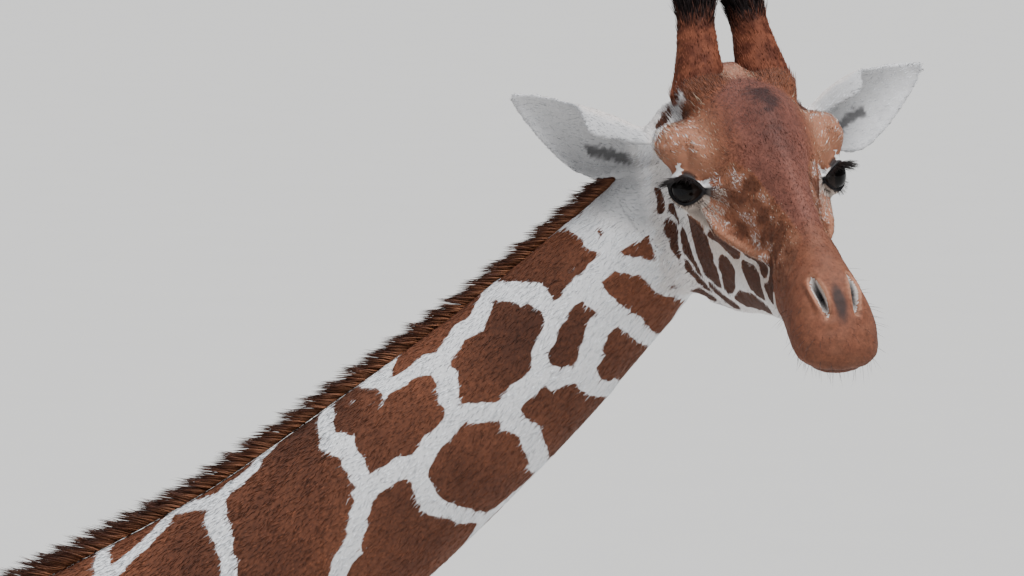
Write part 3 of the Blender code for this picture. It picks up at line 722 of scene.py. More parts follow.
# -------- where the markings lie
# The patches on the right of the neck, from the poll down, each by the middles of its parts: share along the
# body's loft, and angle round it in degrees (0 the mane, -180 the throat).
NECK_PATCHES = [
    [(0.852, -21)], [(0.858, -52), (0.846, -59), (0.837, -66)], [(0.831, -35), (0.832, -56)],
    [(0.838, -85), (0.847, -90)],
    [(0.795, -29), (0.807, -32), (0.817, -48), (0.818, -71), (0.805, -73), (0.804, -51)],
    [(0.819, -95), (0.822, -107), (0.824, -127), (0.824, -150)],
    [(0.806, -98), (0.801, -103), (0.795, -108)], [(0.806, -131), (0.807, -149), (0.8, -145)],
    [(0.752, -22), (0.764, -26), (0.775, -23)],
    [(0.785, -50), (0.791, -73), (0.772, -62), (0.78, -85), (0.766, -83)], [(0.737, -7)],
    [(0.732, -21), (0.748, -56), (0.724, -40), (0.744, -77), (0.724, -74), (0.733, -83)],
    [(0.778, -119), (0.785, -134), (0.775, -137), (0.784, -155)],
    [(0.759, -104), (0.76, -122), (0.747, -108), (0.75, -131), (0.738, -114)],
    [
        (0.706, -23), (0.695, -27), (0.682, -43), (0.679, -69),
        (0.676, -86), (0.699, -88), (0.705, -68), (0.685, -91),
    ],
    [(0.681, -10), (0.669, -8)], [(0.655, -35), (0.644, -41), (0.636, -47), (0.652, -60)],
    [(0.636, -14), (0.627, -19)], [(0.607, -17)],
    [(0.72, -106), (0.708, -108), (0.716, -132), (0.701, -126)],
]
# Across the rest of the body: share along the loft, a patch's breadth.
PATCH_BREADTH = [(0.0, 0.15), (0.25, 0.2), (0.5, 0.21), (0.65, 0.18), (0.8, 0.12), (0.93, 0.08)]
WHITE_LINE = 0.03  # between two patches
# The cheek's dark cells and the spots behind the brow: one end and the other in head axes, half the breadth.
CHEEK_CELLS = [
    ((-0.059, 0.104, -0.094), (-0.044, 0.099, -0.149), 0.011),
    ((-0.034, 0.095, -0.091), (-0.023, 0.074, -0.15), 0.013),
    ((0.024, 0.098, -0.051), (0.024, 0.068, -0.132), 0.019),
    ((-0.047, 0.111, -0.149), (-0.047, 0.079, -0.191), 0.015),
    ((-0.035, 0.085, -0.143), (-0.02, 0.058, -0.177), 0.013),
    ((0.072, 0.065, -0.09), (0.057, 0.055, -0.134), 0.013),
    ((0.013, 0.057, -0.163), (0.032, 0.037, -0.178), 0.011),
    ((0.133, 0.051, -0.068), (0.135, 0.042, -0.098), 0.019),
    ((0.074, 0.04, -0.147), (0.139, 0.031, -0.122), 0.014),
    ((-0.068, 0.103, -0.068), (-0.052, 0.098, -0.083), 0.005),
    ((-0.095, 0.116, -0.056), (-0.08, 0.117, -0.073), 0.006),
    ((0.067, 0.09, -0.046), (0.098, 0.07, -0.052), 0.012),
    ((0.13, 0.058, -0.046), (0.173, 0.049, -0.053), 0.01),
    ((-0.05, 0.065, -0.198), (-0.019, 0.053, -0.189), 0.012),
    ((0.196, 0.049, -0.044), (0.185, 0.043, -0.077), 0.012),
    ((-0.12, 0.11, 0.04), (-0.125, 0.098, 0.062), 0.005),
    ((-0.086, 0.136, 0.05), (-0.082, 0.137, 0.042), 0.005),
]
CELL_GAP = 0.0052  # the pale line between two cells
# Where the cheek begins behind the jaw and under the ear: height in head axes, place along the head.
JAW_LINE = [
    (-0.213, -0.063), (-0.172, -0.045), (-0.141, -0.05), (-0.113, -0.061), (-0.093, -0.073), (-0.069, -0.09),
    (-0.05, -0.108), (-0.02, -0.135), (0.02, -0.16), (0.1, -0.2),
]
# The crest under the eye and the groove beside the nose, in head axes.
CREST = [
    (0.061, 0.093, -0.028), (0.091, 0.082, -0.03), (0.117, 0.07, -0.033),
    (0.139, 0.056, -0.036), (0.169, 0.05, -0.028),
]
NOSE_GROOVE = [(0.156, 0.04, 0.017), (0.17, 0.044, -0.002), (0.179, 0.048, -0.023), (0.196, 0.049, -0.029)]
# Where the upper cheek's hair is darkest and where it is white, in head axes.
CHEEK_DARK = [
    (0.065, 0.07, 0.021), (0.086, 0.057, 0.029), (0.065, 0.077, -0.001), (0.107, 0.063, -0.013),
    (0.138, 0.043, 0.019), (0.165, 0.041, 0.01), (0.182, 0.036, 0.019), (0.197, 0.042, -0.001),
    (0.158, 0.046, -0.003), (0.094, 0.044, 0.049), (0.25, 0.033, 0.013), (0.247, 0.019, 0.029),
    (0.028, 0.084, 0.042), (0.18, 0.047, -0.03),
]
CHEEK_WHITE = [
    (0.065, 0.061, 0.043), (0.116, 0.055, 0.001), (0.1, 0.06, 0.004), (0.148, 0.053, -0.024),
    (0.167, 0.047, -0.011), (0.254, 0.042, -0.003), (0.21, 0.042, -0.002), (0.165, 0.042, 0.007),
    (0.217, 0.026, 0.029), (0.111, 0.039, 0.046), (0.058, 0.063, 0.047), (0.052, 0.08, 0.015),
    (0.046, 0.086, 0.004), (0.135, 0.05, -0.012), (0.08, 0.078, -0.016),
]
# How far from the middle the brown of the forehead and nose reaches, by the place along the head.
BLAZE = [
    (-0.21, 0.06), (-0.12, 0.082), (-0.08, 0.098), (-0.05, 0.15), (0.0, 0.15), (0.018, 0.1), (0.035, 0.074),
    (0.06, 0.056), (0.11, 0.038), (0.15, 0.031), (0.2, 0.025), (0.235, 0.026), (0.265, 0.06), (0.3, 0.13),
    (0.4, 0.15),
]


def ring_length(along):
    ring = body_shape(np.full(49, along), np.linspace(-math.pi, math.pi, 49))
    return np.linalg.norm(np.diff(ring, axis=0), axis=1).sum()


def patch_seeds():
    """Every patch seed's place, the number of its patch, and how far its realm is widened."""
    seeds = []
    for number, spots in enumerate(NECK_PATCHES):
        for along, angle in spots:
            seeds.append((body_shape(np.array([along]), np.radians([angle]))[0], number, 0.0))
    placed = np.array([seed[0] for seed in seeds])
    rng = np.random.default_rng(17)
    number, along, row = len(NECK_PATCHES), 0.02, 0
    while along < 0.93:
        breadth = through(PATCH_BREADTH, np.array([along]))[0, 0]
        count = max(3, round(ring_length(along) / breadth))
        for place in range(count):
            jitter = rng.uniform(-0.24, 0.24, 2)
            angle = (place + 0.5 * (row % 2) + jitter[0]) / count * 2 * math.pi
            spot = body_shape(np.array([along + jitter[1] * 0.016]), np.array([angle]))[0]
            if far(placed - spot).min() > 0.8 * breadth:
                seeds.append((spot, number, rng.uniform(0.0, 0.3) * breadth))
                number += 1
        middle = body_shape(np.array([along, along + 0.01]), np.array([0.0, 0.0]))
        along += 0.01 * 0.88 * breadth / np.linalg.norm(middle[1] - middle[0])
        row += 1
    for stance in STANCE:
        height, row = 1.66, 0
        heights = np.array(LEGS[stance])[:, 0]
        while height > 0.45:
            breadth = 0.075 + 0.055 * step(0.7, 1.5, height)
            share = np.interp(-height, -heights, np.linspace(0, 1, len(heights)))
            for place in range(3):
                jitter = rng.uniform(-0.2, 0.2, 2)
                angle = (place + 0.5 * (row % 2) + jitter[0]) / 3 * 2 * math.pi
                spot = leg_shape(stance)(np.array([share]), np.array([angle]))[0]
                seeds.append((spot + np.array([0, 0, jitter[1] * 0.5 * breadth]), number, 0.0))
                number += 1
            height -= breadth
            row += 1
    return [np.array(column) for column in zip(*seeds)]


def patch_margin(points, seeds):
    """How far inside its patch each point lies, up to the line where the next patch's realm begins."""
    places, numbers, pulls = seeds
    between = np.linalg.norm(places[:, None] - places[None], axis=2)
    between[numbers[:, None] == numbers[None]] = np.inf
    margins = np.empty(len(points))
    for start in range(0, len(points), 20000):
        part = points[start : start + 20000]
        power = ((part[:, None] - places[None]) ** 2).sum(2) - pulls**2
        own = power.argmin(1)
        lead = (power - power.min(1)[:, None]) / (2 * between[own])
        lead[numbers[own][:, None] == numbers[None]] = np.inf
        margins[start : start + 20000] = lead.min(1)
    return margins


def cell_margin(at):
    """How far inside the nearest of the cheek's cells points in head axes lie; negative outside."""
    nearest, second = np.full(len(at), 1.0), np.full(len(at), 1.0)
    for start, end, half in CHEEK_CELLS:
        start, end = np.array(start), np.array(end)
        way = end - start
        share = np.clip((at - start) @ way / (way @ way), 0, 1)
        off = far(at - start - share[:, None] * way) - half
        second = np.minimum(second, np.maximum(nearest, off))
        nearest = np.minimum(nearest, off)
    return np.minimum((second - nearest - CELL_GAP) / 2, 0.004 - nearest)


def line_distance(at, line):
    """How far points lie from a line through these places."""
    shares = np.linspace(0, 1, 60)
    knots = np.linspace(0, 1, len(line))
    drawn = through([(knot, *place) for knot, place in zip(knots, line)], shares)
    return np.linalg.norm(at[:, None] - drawn[None], axis=2).min(1)


def blotches(at, places, radius):
    return sum(hump(far(at - np.array(place)), 0.0, radius) for place in places)


def ear_place(at, word):
    """How far along an ear points in head axes lie, as a share."""
    axis = np.array(ear_axes(word)[0])
    return (at - np.array(mirrored(EAR_ROOT, SIDES[word]))) @ axis / EAR_LENGTH


def on_ears(at):
    ears = step(0.118, 0.14, np.abs(at[:, 1])) * step(-0.055, -0.08, at[:, 0])
    return ears * step(-0.12, -0.09, at[:, 2])


def horn_foot_distance(at):
    return np.hypot(at[:, 0] - HORN_FOOT[0], np.abs(at[:, 1]) - HORN_FOOT[1])


def coat_markings(points, seeds):
    """The markings of neck, trunk and legs, at points in body axes."""
    height = points[:, 2]
    drift = columns(*(ripple(points, 0.17, 60 + i) for i in range(3)))
    line = WHITE_LINE * np.ones(len(points))
    line += 0.1 * step(1.15, 0.55, height)
    line += 0.03 * step(1.8, 1.68, height) * step(0.16, 0.05, np.abs(points[:, 1]))
    brown = patch_margin(points + 0.01 * drift, seeds) - line / 2
    brown += 0.0035 * ripple(points, 0.04, 8) + 0.003 * ripple(points, 0.014, 9)
    brown -= 0.2 * step(0.62, 0.48, height)
    none = np.zeros(len(points))
    hue, cream = 0.25 + 0.15 * ripple(points, 0.3, 11), 0.15 * step(1.2, 0.3, height)
    return SimpleNamespace(brown=brown, hue=hue, mottle=none, cream=cream, dark=none)


def face_markings(at, inside):
    """The markings of the head but for its eyes, nostrils and ears, with painted shade at the mouth, beside
    the nose and under the muzzle, at points in head axes; inside is how far in front of the jaw's line they
    lie."""
    forward, left, up = at.T
    wide = np.abs(left)
    wobble = 0.003 * columns(*(ripple(at, 0.045, 70 + i) for i in range(3)))
    mirror = folded(at) + wobble
    muzzle = step(0.195, 0.235, forward + 0.008 * ripple(at, 0.03, 16))
    reach = through(BLAZE, np.clip(forward, -0.21, 0.4))[:, 0]
    floor = -0.012 * step(0.03, -0.03, forward) - 0.016 + 0.028 * step(0.045, 0.0, forward)
    floor = np.where(forward < -0.06, 0.012, floor)
    blaze = reach - wide + 0.003 * ripple(at, 0.03, 12)
    blaze = np.minimum(blaze, up - floor + 0.004 * ripple(at, 0.02, 17)) + 0.2 * muzzle
    cells = np.minimum(cell_margin(mirror) + 0.001 * ripple(at, 0.012, 13), inside - 0.005)
    # Brown hair mixed with white beside the nose, tan over the brow, along the crest and between the horns.
    beside = step(0.028, 0.05, forward) * step(0.275, 0.245, forward) * step(-0.04, -0.026, up)
    beside *= step(-0.004, 0.006, wide - reach + 0.004)
    white = blotches(mirror, CHEEK_WHITE, 0.017) - 1.2 * blotches(mirror, CHEEK_DARK, 0.02)
    white = step(-0.3, 0.8, white + 0.4 * ripple(at, 0.02, 18) + 0.38 * ripple(at, 0.009, 19) + 0.2)
    crest = step(0.0085, 0.0045, line_distance(mirror, CREST))
    brown = np.maximum(blaze, cells)
    brown = np.where(beside > 0.1, np.maximum(brown, 0.02 * beside), brown)
    brown = np.where(crest > 0.1, np.maximum(brown, 0.008 * crest), brown)
    mottle = 0.7 * beside * white * (1 - muzzle)
    crest_mottle = 0.22 + 0.45 * step(0.085, 0.065, forward) + 0.5 * step(0.148, 0.17, forward)
    mottle = np.where(crest > 0.3, crest_mottle, mottle)
    tan = step(0.055, 0.09, wide) * step(-0.085, -0.04, forward) * step(0.05, 0.02, forward)
    tan *= step(0.015, 0.035, up)
    from_eye = far(at - np.array([0.0, 0.104, 0.0]) * np.sign(left)[:, None])
    streaks = np.sin(from_eye * 2 * math.pi / 0.0095)
    tan_mottle = 0.34 + 0.22 * streaks * step(0.045, 0.06, up)
    tan_mottle += 0.3 * hump(forward, 0.03, 0.03) * step(0.05, 0.03, up)
    tan_mottle += 0.5 * step(-0.035, -0.075, forward + 0.01 * ripple(at, 0.02, 23))
    crown = hump(forward, -0.128, 0.04) * step(0.034, 0.016, wide) * step(0.08, 0.1, up)
    mottle = np.maximum(np.maximum(mottle, tan_mottle * tan), 0.3 * crown)
    # The forehead's dark middle, and how the brown turns paler down the nose.
    bump = np.hypot((forward + 0.02) / 0.062, (left - 0.005) / 0.036)
    bump = step(2.0, 0.3, bump + 0.22 * ripple(at, 0.02, 20)) * step(0.07, 0.1, up)
    hue = 0.56 + 0.24 * step(0.25, 0.18, forward) * step(0.075, 0.035, wide) * step(0.0, 0.04, up)
    hue += 0.07 * hump(forward, 0.05, 0.09) * step(0.045, 0.015, wide) * step(0.0, 0.05, up)
    hue = np.maximum(hue, bump) - 0.03 * ripple(at, 0.05, 14)
    hue = hue + (0.4 - hue) * step(0.062, 0.036, horn_foot_distance(at))
    hue = np.where(cells >= blaze, 0.04, hue)
    hue = np.where(beside > 0.5, 0.22 + 0.2 * step(0.0, 0.3, white), hue)
    hue = np.where((tan > 0.4) | (crest > 0.3), 0.52, hue)
    # Painted shade: the brown turns darker at the bottom of the muzzle's front.
    hue -= 0.22 * step(0.355, 0.385, forward) * step(-0.06, -0.09, up)
    cream = 0.3 + 0.35 * hump(up, -0.06, 0.06) * step(-0.02, 0.02, forward)
    tanned = np.maximum(np.maximum(0.62 * tan, 0.6 * crown), 0.55 * (crest > 0.3))
    tanned = tanned + 0.1 * muzzle + 0.06 * ripple(at, 0.025, 22) * muzzle
    tanned = np.maximum(tanned, 0.34 * white * beside)
    cream = np.where(brown > 0, np.clip(tanned, 0, 1) * (cells < brown), cream)
    middle = np.hypot((forward - 0.344) / 0.026, (left + 0.001) / 0.0105)
    dark = 0.85 * step(1.2, 0.5, middle) * (up > -0.04)
    # The mouth's line: dark lip skin, with painted shade in the crease under the upper lip.
    lip = step(MOUTH_START, MOUTH_START + 0.02, forward) * hump(up, MOUTH_HEIGHT, 0.006)
    dark = np.maximum(dark, 0.6 * lip)
    # Painted shade along the groove beside the nose.
    dark = np.maximum(dark, 0.3 * hump(line_distance(mirror, NOSE_GROOVE), 0.0, 0.007))
    # The dark line down from the eyes' inner corners.
    tear = 0.7 * step(0.01, 0.002, far(mirror - np.array([0.034, 0.1, -0.008]))) * (forward < 0.04)
    dark = np.maximum(dark, tear * step(0.0035, 0.0015, np.abs(forward - 0.034)))
    return SimpleNamespace(brown=brown, hue=hue, mottle=mottle, cream=cream, dark=dark)


def darken(marks, amount):
    marks.dark = np.maximum(marks.dark, amount)


def clear(marks, share, least, brown):
    """No patch where the share is over its least, and no brown hair mixed in."""
    marks.brown = np.where(share > least, brown, marks.brown)
    marks.mottle = marks.mottle * (1 - share)


def mark_eye(marks, at, side):
    """The pale hair under an eye, the white tuft on its upper lid, the dark rims and corner, and painted
    shade along the folds under the eye.
    """
    distance, outside, high, way, facing = lid_place(at, side)
    inward = way @ np.array(lid_axes(side)[1])
    near = (distance < 0.075) & (facing > -0.3)
    below = near * step(0.95, 0.7, outside) * (high < 0.1)
    corner = near * step(0.064, 0.054, distance) * step(0.0, 0.1, inward - 0.8)
    corner = corner * step(0.6, 0.4, np.abs(high + 0.02))
    clear(marks, np.maximum(below, corner), 0.4, -0.004)
    marks.cream = np.where(below > 0.3, 0.75, marks.cream)
    upper = near * (high > 0.02)
    ragged = 0.09 * ripple(at, 0.008, 26)
    tuft = upper * step(0.8, 0.56, outside + ragged) * step(0.02, -0.2, inward + ragged)
    clear(marks, tuft, 0.4, -0.006)
    marks.cream = marks.cream * (1 - tuft)
    past = np.maximum(inward - 0.55, 0)
    band = upper * step(0.049, 0.043, distance) * step(0.52, 0.38, outside + past)
    darken(marks, 0.97 * (band * step(-0.14, -0.02, inward)))
    rim = 0.13 + 0.16 * step(0.45, 0.85, np.abs(inward))
    darken(marks, near * step(0.049, 0.041, distance) * step(rim, 0.6 * rim, outside))
    # Painted shade along the lower lid's folds and over the folded skin below the eye.
    fold = near * (high < 0) * hump(outside, 0.46, 0.05)
    darken(marks, 0.35 * fold * step(0.06, 0.05, distance))
    darken(marks, 0.48 * below * hump(outside, 0.66, 0.3))


def mark_nostril(marks, at, side):
    """A nostril's pale rim, and its slit darkened with dark skin and the painted shade of its hollow."""
    off, along, outer = slit_distance(at, side)
    share = hump(along, 0.45, 0.62) ** 0.5
    rim = np.where(outer, 0.01, 0.014) * share + 0.0015
    pale = 0.95 * step(1.25 * rim, 0.55 * rim, off + 0.0015 * ripple(at, 0.01, 24))
    marks.cream = np.maximum(marks.cream, pale)
    edge = np.where(outer, 0.006, 0.0078) * share
    nostril = step(edge + 0.0008, edge - 0.0008, off + 0.0006 * ripple(at, 0.006, 25))
    clear(marks, nostril, 0.5, -0.003)
    marks.cream = np.where(nostril > 0.5, 0.95 - 0.5 * step(0.0056, 0.0045, off), marks.cream)
    # The slit's near-black: dark skin, with painted shade standing for the nostril's hollow.
    darken(marks, 0.97 * step(SLIT_HALF, 0.45 * SLIT_HALF, off) * hump(along, 0.48, 0.6) ** 0.5)


def mark_ear(marks, at, out, word):
    """An ear's white back, its inside greyed with painted shade that deepens towards the root, and the dark
    hair by its canal; out are the skin's normals.
    """
    fringe = line_distance(at, [mirrored(place, SIDES[word]) for place in EAR_FRINGE[word]])
    ear = on_ears(at) * (at[:, 1] * SIDES[word] > 0)
    clear(marks, ear, 0.5, -0.01)
    inner = step(-0.1, 0.3, out @ np.array(ear_axes(word)[1])) * ear
    marks.cream = np.where(ear > 0.5, 0.42 * (1 - inner), marks.cream)
    darken(marks, 0.88 * (step(0.015, 0.005, fringe + 0.004 * ripple(at, 0.012, 15)) * ear))
    # Painted shade inside the ear, deepest towards its root.
    darken(marks, inner * (0.22 + 0.22 * step(0.9, 0.3, ear_place(at, word))))


def markings(points, normals, seeds):
    """The coat's markings at these points, in body axes: brown is how far inside a brown patch a point
    lies, in metres; the others run from 0 to 1."""
    at = to_head(points)
    out = normals @ np.array(head_matrix())[:3, :3]
    forward, up = at[:, 0], at[:, 2]
    # The head begins at the line behind the jaw, and at the plane from there to the poll.
    jaw = through(JAW_LINE, np.clip(up, -0.213, 0.1))[:, 0]
    inside = np.minimum(forward - jaw, head_side(points) + 0.09) + 0.003 * ripple(at, 0.03, 21)
    coat = coat_markings(points, seeds)
    coat.brown = np.minimum(coat.brown, -inside - 0.004)
    for side in SIDES.values():
        root = far(at - np.array(mirrored(EAR_ROOT, side)))
        coat.brown = coat.brown - 0.05 * step(0.082, 0.066, root)
    head = face_markings(at, inside)
    for side in (-1, 1):
        mark_eye(head, at, side)
        mark_nostril(head, at, side)
    for word in SIDES:
        mark_ear(head, at, out, word)
    face = np.maximum(step(-0.001, 0.001, inside), on_ears(at))
    found = {}
    for name, on_face in vars(head).items():
        values = getattr(coat, name) * (1 - face) + on_face * face
        found[name] = values if name == "brown" else np.clip(values, 0, 1)
    return found


def head_side(points):
    """How far in front of the plane behind the jaw points lie."""
    ahead = head_matrix().to_3x3() @ Vector((0.75, 0, 0.3))
    return past_plane((head_matrix() @ Vector((-0.15, 0.0, -0.045)), (ahead + NECK_WAY).normalized()), points)


def lie_of_coat(points, normals):
    """The way that the hair lies, along the skin."""
    at = to_head(points)
    forward, left, up = at.T
    wide = np.abs(left)
    trunk = np.array([-0.8, 0, -0.6])
    neck = np.array([-math.cos(NECK_SLOPE), 0, -math.sin(NECK_SLOPE) - 0.15])
    share = step(0.4, 1.0, points[:, 0])[:, None]
    way = trunk * (1 - share) + neck * share
    legs = (step(1.8, 1.5, points[:, 2]) * step(1.2, 0.9, points[:, 0]))[:, None]
    way = way * (1 - legs) + np.array([0, 0, -1.0]) * legs
    nose = step(0.0, 0.07, forward)[:, None]
    ones = np.ones(len(at))
    crown = columns(-ones, 0.4 * np.sign(left) * step(0.02, 0.06, wide), 0.4 * ones)
    facial = crown * (1 - nose) + np.array([1.0, 0, -0.25]) * nose
    cheek = (step(0.0, -0.05, up) * step(0.24, 0.16, forward))[:, None]
    facial = facial * (1 - cheek) + np.array([-0.15, 0, -1.0]) * cheek
    chin = step(0.3, 0.36, forward)[:, None]
    facial = facial * (1 - chin) + np.array([0.35, 0, -1.0]) * chin
    for word, side in SIDES.items():
        ear = (on_ears(at) * (left * side > 0))[:, None]
        facial = facial * (1 - ear) + np.array(ear_axes(word)[0]) * ear
    face = step(-0.04, 0.02, head_side(points))[:, None]
    face = np.maximum(face, on_ears(at)[:, None])
    way = way * (1 - face) + from_head(facial) * face
    return unit(way - normals * (way * normals).sum(1)[:, None])


# -------- hairs
def hair_mesh(name, roots, ways, tops, bends, lengths, widths, heights, rings, charts, layers):
    """Closed three-sided hairs joined in one mesh. Each starts at its root, runs its way, bends by its
    bend towards the tip, and is as wide and as high as given at the root. Charts holds each root's place
    on the unwrapped skin, and layers one value a hair for each attribute."""
    count = len(roots)
    widths, heights = np.broadcast_to(widths, count), np.broadcast_to(heights, count)
    side = unit(np.cross(tops, ways))
    shares = np.arange(rings) / rings
    points = np.empty((count, 3 * rings + 1, 3))
    flat = np.empty((count, 3 * rings + 1, 2))
    for ring, share in enumerate(shares):
        middle = roots + ways * (lengths * share)[:, None] + bends * share**2
        half = side * (widths * (1 - share**1.6) / 2)[:, None]
        crest = tops * (heights * (1 - share**1.6))[:, None]
        for corner, place in enumerate((middle - half, middle + half, middle + crest)):
            points[:, 3 * ring + corner] = place
        for corner, (x, y) in enumerate(((-0.5, 0.0), (0.5, 0.0), (0.0, -0.12))):
            flat[:, 3 * ring + corner] = charts + 0.003 * np.array([x * (1 - share), share + y])
    points[:, -1] = roots + ways * lengths[:, None] + bends
    flat[:, -1] = charts + np.array([0, 0.003])
    faces = [(0, 2, 1)]
    for ring in range(rings - 1):
        low, high = 3 * ring, 3 * ring + 3
        for a, b in ((0, 1), (1, 2), (2, 0)):
            faces += [(low + a, low + b, high + b), (low + a, high + b, high + a)]
    last, tip = 3 * rings - 3, 3 * rings
    faces += [(last + a, last + b, tip) for a, b in ((0, 1), (1, 2), (2, 0))]
    corners = (np.array(faces)[None] + (np.arange(count) * (tip + 1))[:, None, None]).reshape(-1)
    mesh = bpy.data.meshes.new(name)
    mesh.vertices.add(count * (tip + 1))
    mesh.vertices.foreach_set("co", points.astype(np.float32).ravel())
    mesh.loops.add(len(corners))
    mesh.loops.foreach_set("vertex_index", corners.astype(np.int32))
    mesh.polygons.add(len(corners) // 3)
    mesh.polygons.foreach_set("loop_start", np.arange(0, len(corners), 3, dtype=np.int32))
    mesh.update(calc_edges=True)
    chart = mesh.uv_layers.new(name="OFBake")
    chart.data.foreach_set("uv", flat.reshape(-1, 2)[corners].astype(np.float32).ravel())
    grown = np.append(np.repeat(shares, 3), 1.0)
    add_layer(mesh, "tip", np.tile(grown, count))
    for layer, values in layers.items():
        add_layer(mesh, layer, np.repeat(values, tip + 1))
    return mesh


def scattered(mesh, wanted, spacing, seed):
    """Places spread evenly over the wanted triangles of a mesh, with the skin's normal at each."""
    mesh.calc_loop_triangles()
    corners = np.empty(len(mesh.loop_triangles) * 3, np.int32)
    mesh.loop_triangles.foreach_get("vertices", corners)
    corners = corners.reshape(-1, 3)
    points, normals = points_of(mesh), normals_of(mesh)
    corners = corners[wanted(points[corners].mean(1))]
    a, b, c = (points[corners[:, i]] for i in range(3))
    reach = np.cumsum(np.linalg.norm(np.cross(b - a, c - a), axis=1) / 2)
    rng = np.random.default_rng(seed)
    count = int(reach[-1] / spacing**2 * 4.5)
    picked = np.searchsorted(reach, (np.arange(count) + rng.random(count)) / count * reach[-1])
    picked = np.minimum(picked, len(corners) - 1)
    first, second = np.sqrt(rng.random(count)), rng.random(count)
    shares = columns(1 - first, first * (1 - second), first * second)[:, :, None]
    places = (points[corners[picked]] * shares).sum(1)
    order = rng.permutation(count)
    cells = np.floor(places[order] / spacing).astype(np.int64)
    keys = (cells[:, 0] * 100003 + cells[:, 1]) * 100003 + cells[:, 2]
    kept = order[np.unique(keys, return_index=True)[1]]
    return places[kept], unit((normals[corners[picked[kept]]] * shares[kept]).sum(1))


def along_body(points):
    """Share along the line through the middle of trunk and neck, and angle round it from the back."""
    rows = np.array([((r[0] + r[2]) / 2, (r[1] + r[3]) / 2) for r in BODY])
    way = np.diff(rows, axis=0)
    at = points[:, [0, 2]]
    share = np.clip(
        ((at[:, None] - rows[None, :-1]) * way[None]).sum(2) / (way**2).sum(1)[None], 0, 1
    )
    foot = rows[None, :-1] + share[:, :, None] * way[None]
    row = np.linalg.norm(at[:, None] - foot, axis=2).argmin(1)
    pick = np.arange(len(at))
    up = unit(columns(-way[row, 1], way[row, 0]))
    rise = ((at - foot[pick, row]) * up).sum(1)
    return (row + share[pick, row]) / len(way), np.arctan2(points[:, 1], rise)


def spread(values, low, high):
    return 0.01 + 0.975 * np.clip((values - low) / (high - low), 0, 1)


def body_chart(points):
    along, angle = along_body(points)
    return columns(spread(along, along.min(), along.max()), spread(angle, -math.pi, math.pi))


def head_chart(points):
    at = to_head(points)
    angle = np.arctan2(at[:, 1], at[:, 2] + 0.04)
    return columns(
        spread(at[:, 0], at[:, 0].min(), at[:, 0].max()), spread(angle, angle.min(), angle.max())
    )


def ear_chart(points):
    at = to_head(points)
    charts = np.zeros((len(at), 2))
    for word, side in SIDES.items():
        axis, facing, upward = (np.array(v) for v in ear_axes(word))
        held = at[:, 1] * side > 0
        from_root = at[held] - np.array(mirrored(EAR_ROOT, side))
        angle = np.arctan2(from_root @ upward + 0.02, from_root @ facing)
        charts[held, 0] = spread(from_root @ axis, -0.01, EAR_LENGTH * 1.02)
        charts[held, 1] = spread(angle, -math.pi, math.pi) * 0.49 + (0.5 if side > 0 else 0.0)
    return charts


def leg_chart(points):
    """Height, and angle round the leg, the right leg's chart beside the left's."""
    left = points[:, 1] > 0
    charts = np.zeros((len(points), 2))
    charts[:, 0] = spread(points[:, 2], 0.09, 1.72)
    for held in (left, ~left):
        middle = points[held][:, :2].mean(0)
        angle = np.arctan2(points[held, 1] - middle[1], points[held, 0] - middle[0])
        charts[held, 1] = spread(angle, -math.pi, math.pi) * 0.49
    charts[left, 1] += 0.5
    return charts


def coat_mesh(name, skin, wanted, chart, seed, spacing, length, width, height, lift):
    """A stretch of the coat: flat tufts that lie along the skin and overlap."""
    roots, normals = scattered(skin, wanted, spacing, seed)
    rng = np.random.default_rng(seed + 1)
    count = len(roots)
    ways = lie_of_coat(roots, normals)
    side = np.cross(normals, ways)
    turn = rng.normal(0, 0.16, count) + 0.2 * ripple(roots, 0.05, seed + 2)
    ways = unit(ways * np.cos(turn)[:, None] + side * np.sin(turn)[:, None])
    small = 1 - 0.45 * small_hair(roots)
    longer = 1 + 1.3 * round_horns(roots) + behind_brows(roots)
    lengths = length * rng.uniform(0.75, 1.3, count) * small * longer
    shift = ways * (0.0045 * ripple(roots, 0.011, 21) * (1 - small_hair(roots)))[:, None]
    layers = markings(roots + shift, normals, patch_seeds())
    lengths = np.where(layers["dark"] > 0.5, lengths * 0.45, lengths)
    pale = rng.random(count) < 0.95 * layers["mottle"]
    layers["brown"] = np.where(pale, -0.004, layers["brown"])
    layers["cream"] = np.where(pale, np.where(layers["mottle"] > 0.45, 0.45, 1.0), layers["cream"])
    layers["mottle"] = 0.5 * layers["mottle"]
    layers["shade"] = rng.random(count)
    lifted = unit(ways + normals * (lift / length * rng.uniform(0.5, 1.5, count))[:, None])
    sunk = roots - normals * 0.0006 - ways * (0.3 * lengths)[:, None]
    return hair_mesh(
        name, sunk, lifted, normals, -normals * (0.35 * lift * lengths / length)[:, None], lengths,
        width * small * rng.uniform(0.8, 1.2, count), height, 1, chart(roots), layers,
    )


def round_horns(points):
    """1 by the roots of the horns, and 0 away from them."""
    at = to_head(points)
    return step(0.062, 0.04, horn_foot_distance(at)) * (at[:, 2] > 0.05)


def behind_brows(points):
    """1 where the brows run back into the roots of the ears, and 0 away from there."""
    forward, left, up = to_head(points).T
    return hump(forward, -0.075, 0.045) * step(0.08, 0.095, np.abs(left)) * step(-0.03, 0.0, up)


def small_hair(points):
    """1 where the hair is shortest, by the lips, nostrils and eyes, and 0 away from them."""
    at = to_head(points)
    small = step(0.2, 0.34, at[:, 0])
    for side in (-1, 1):
        distance = far(at - np.array(mirrored(EYE_CENTRE, side)))
        small = np.maximum(small, step(0.06, 0.036, distance))
    return small


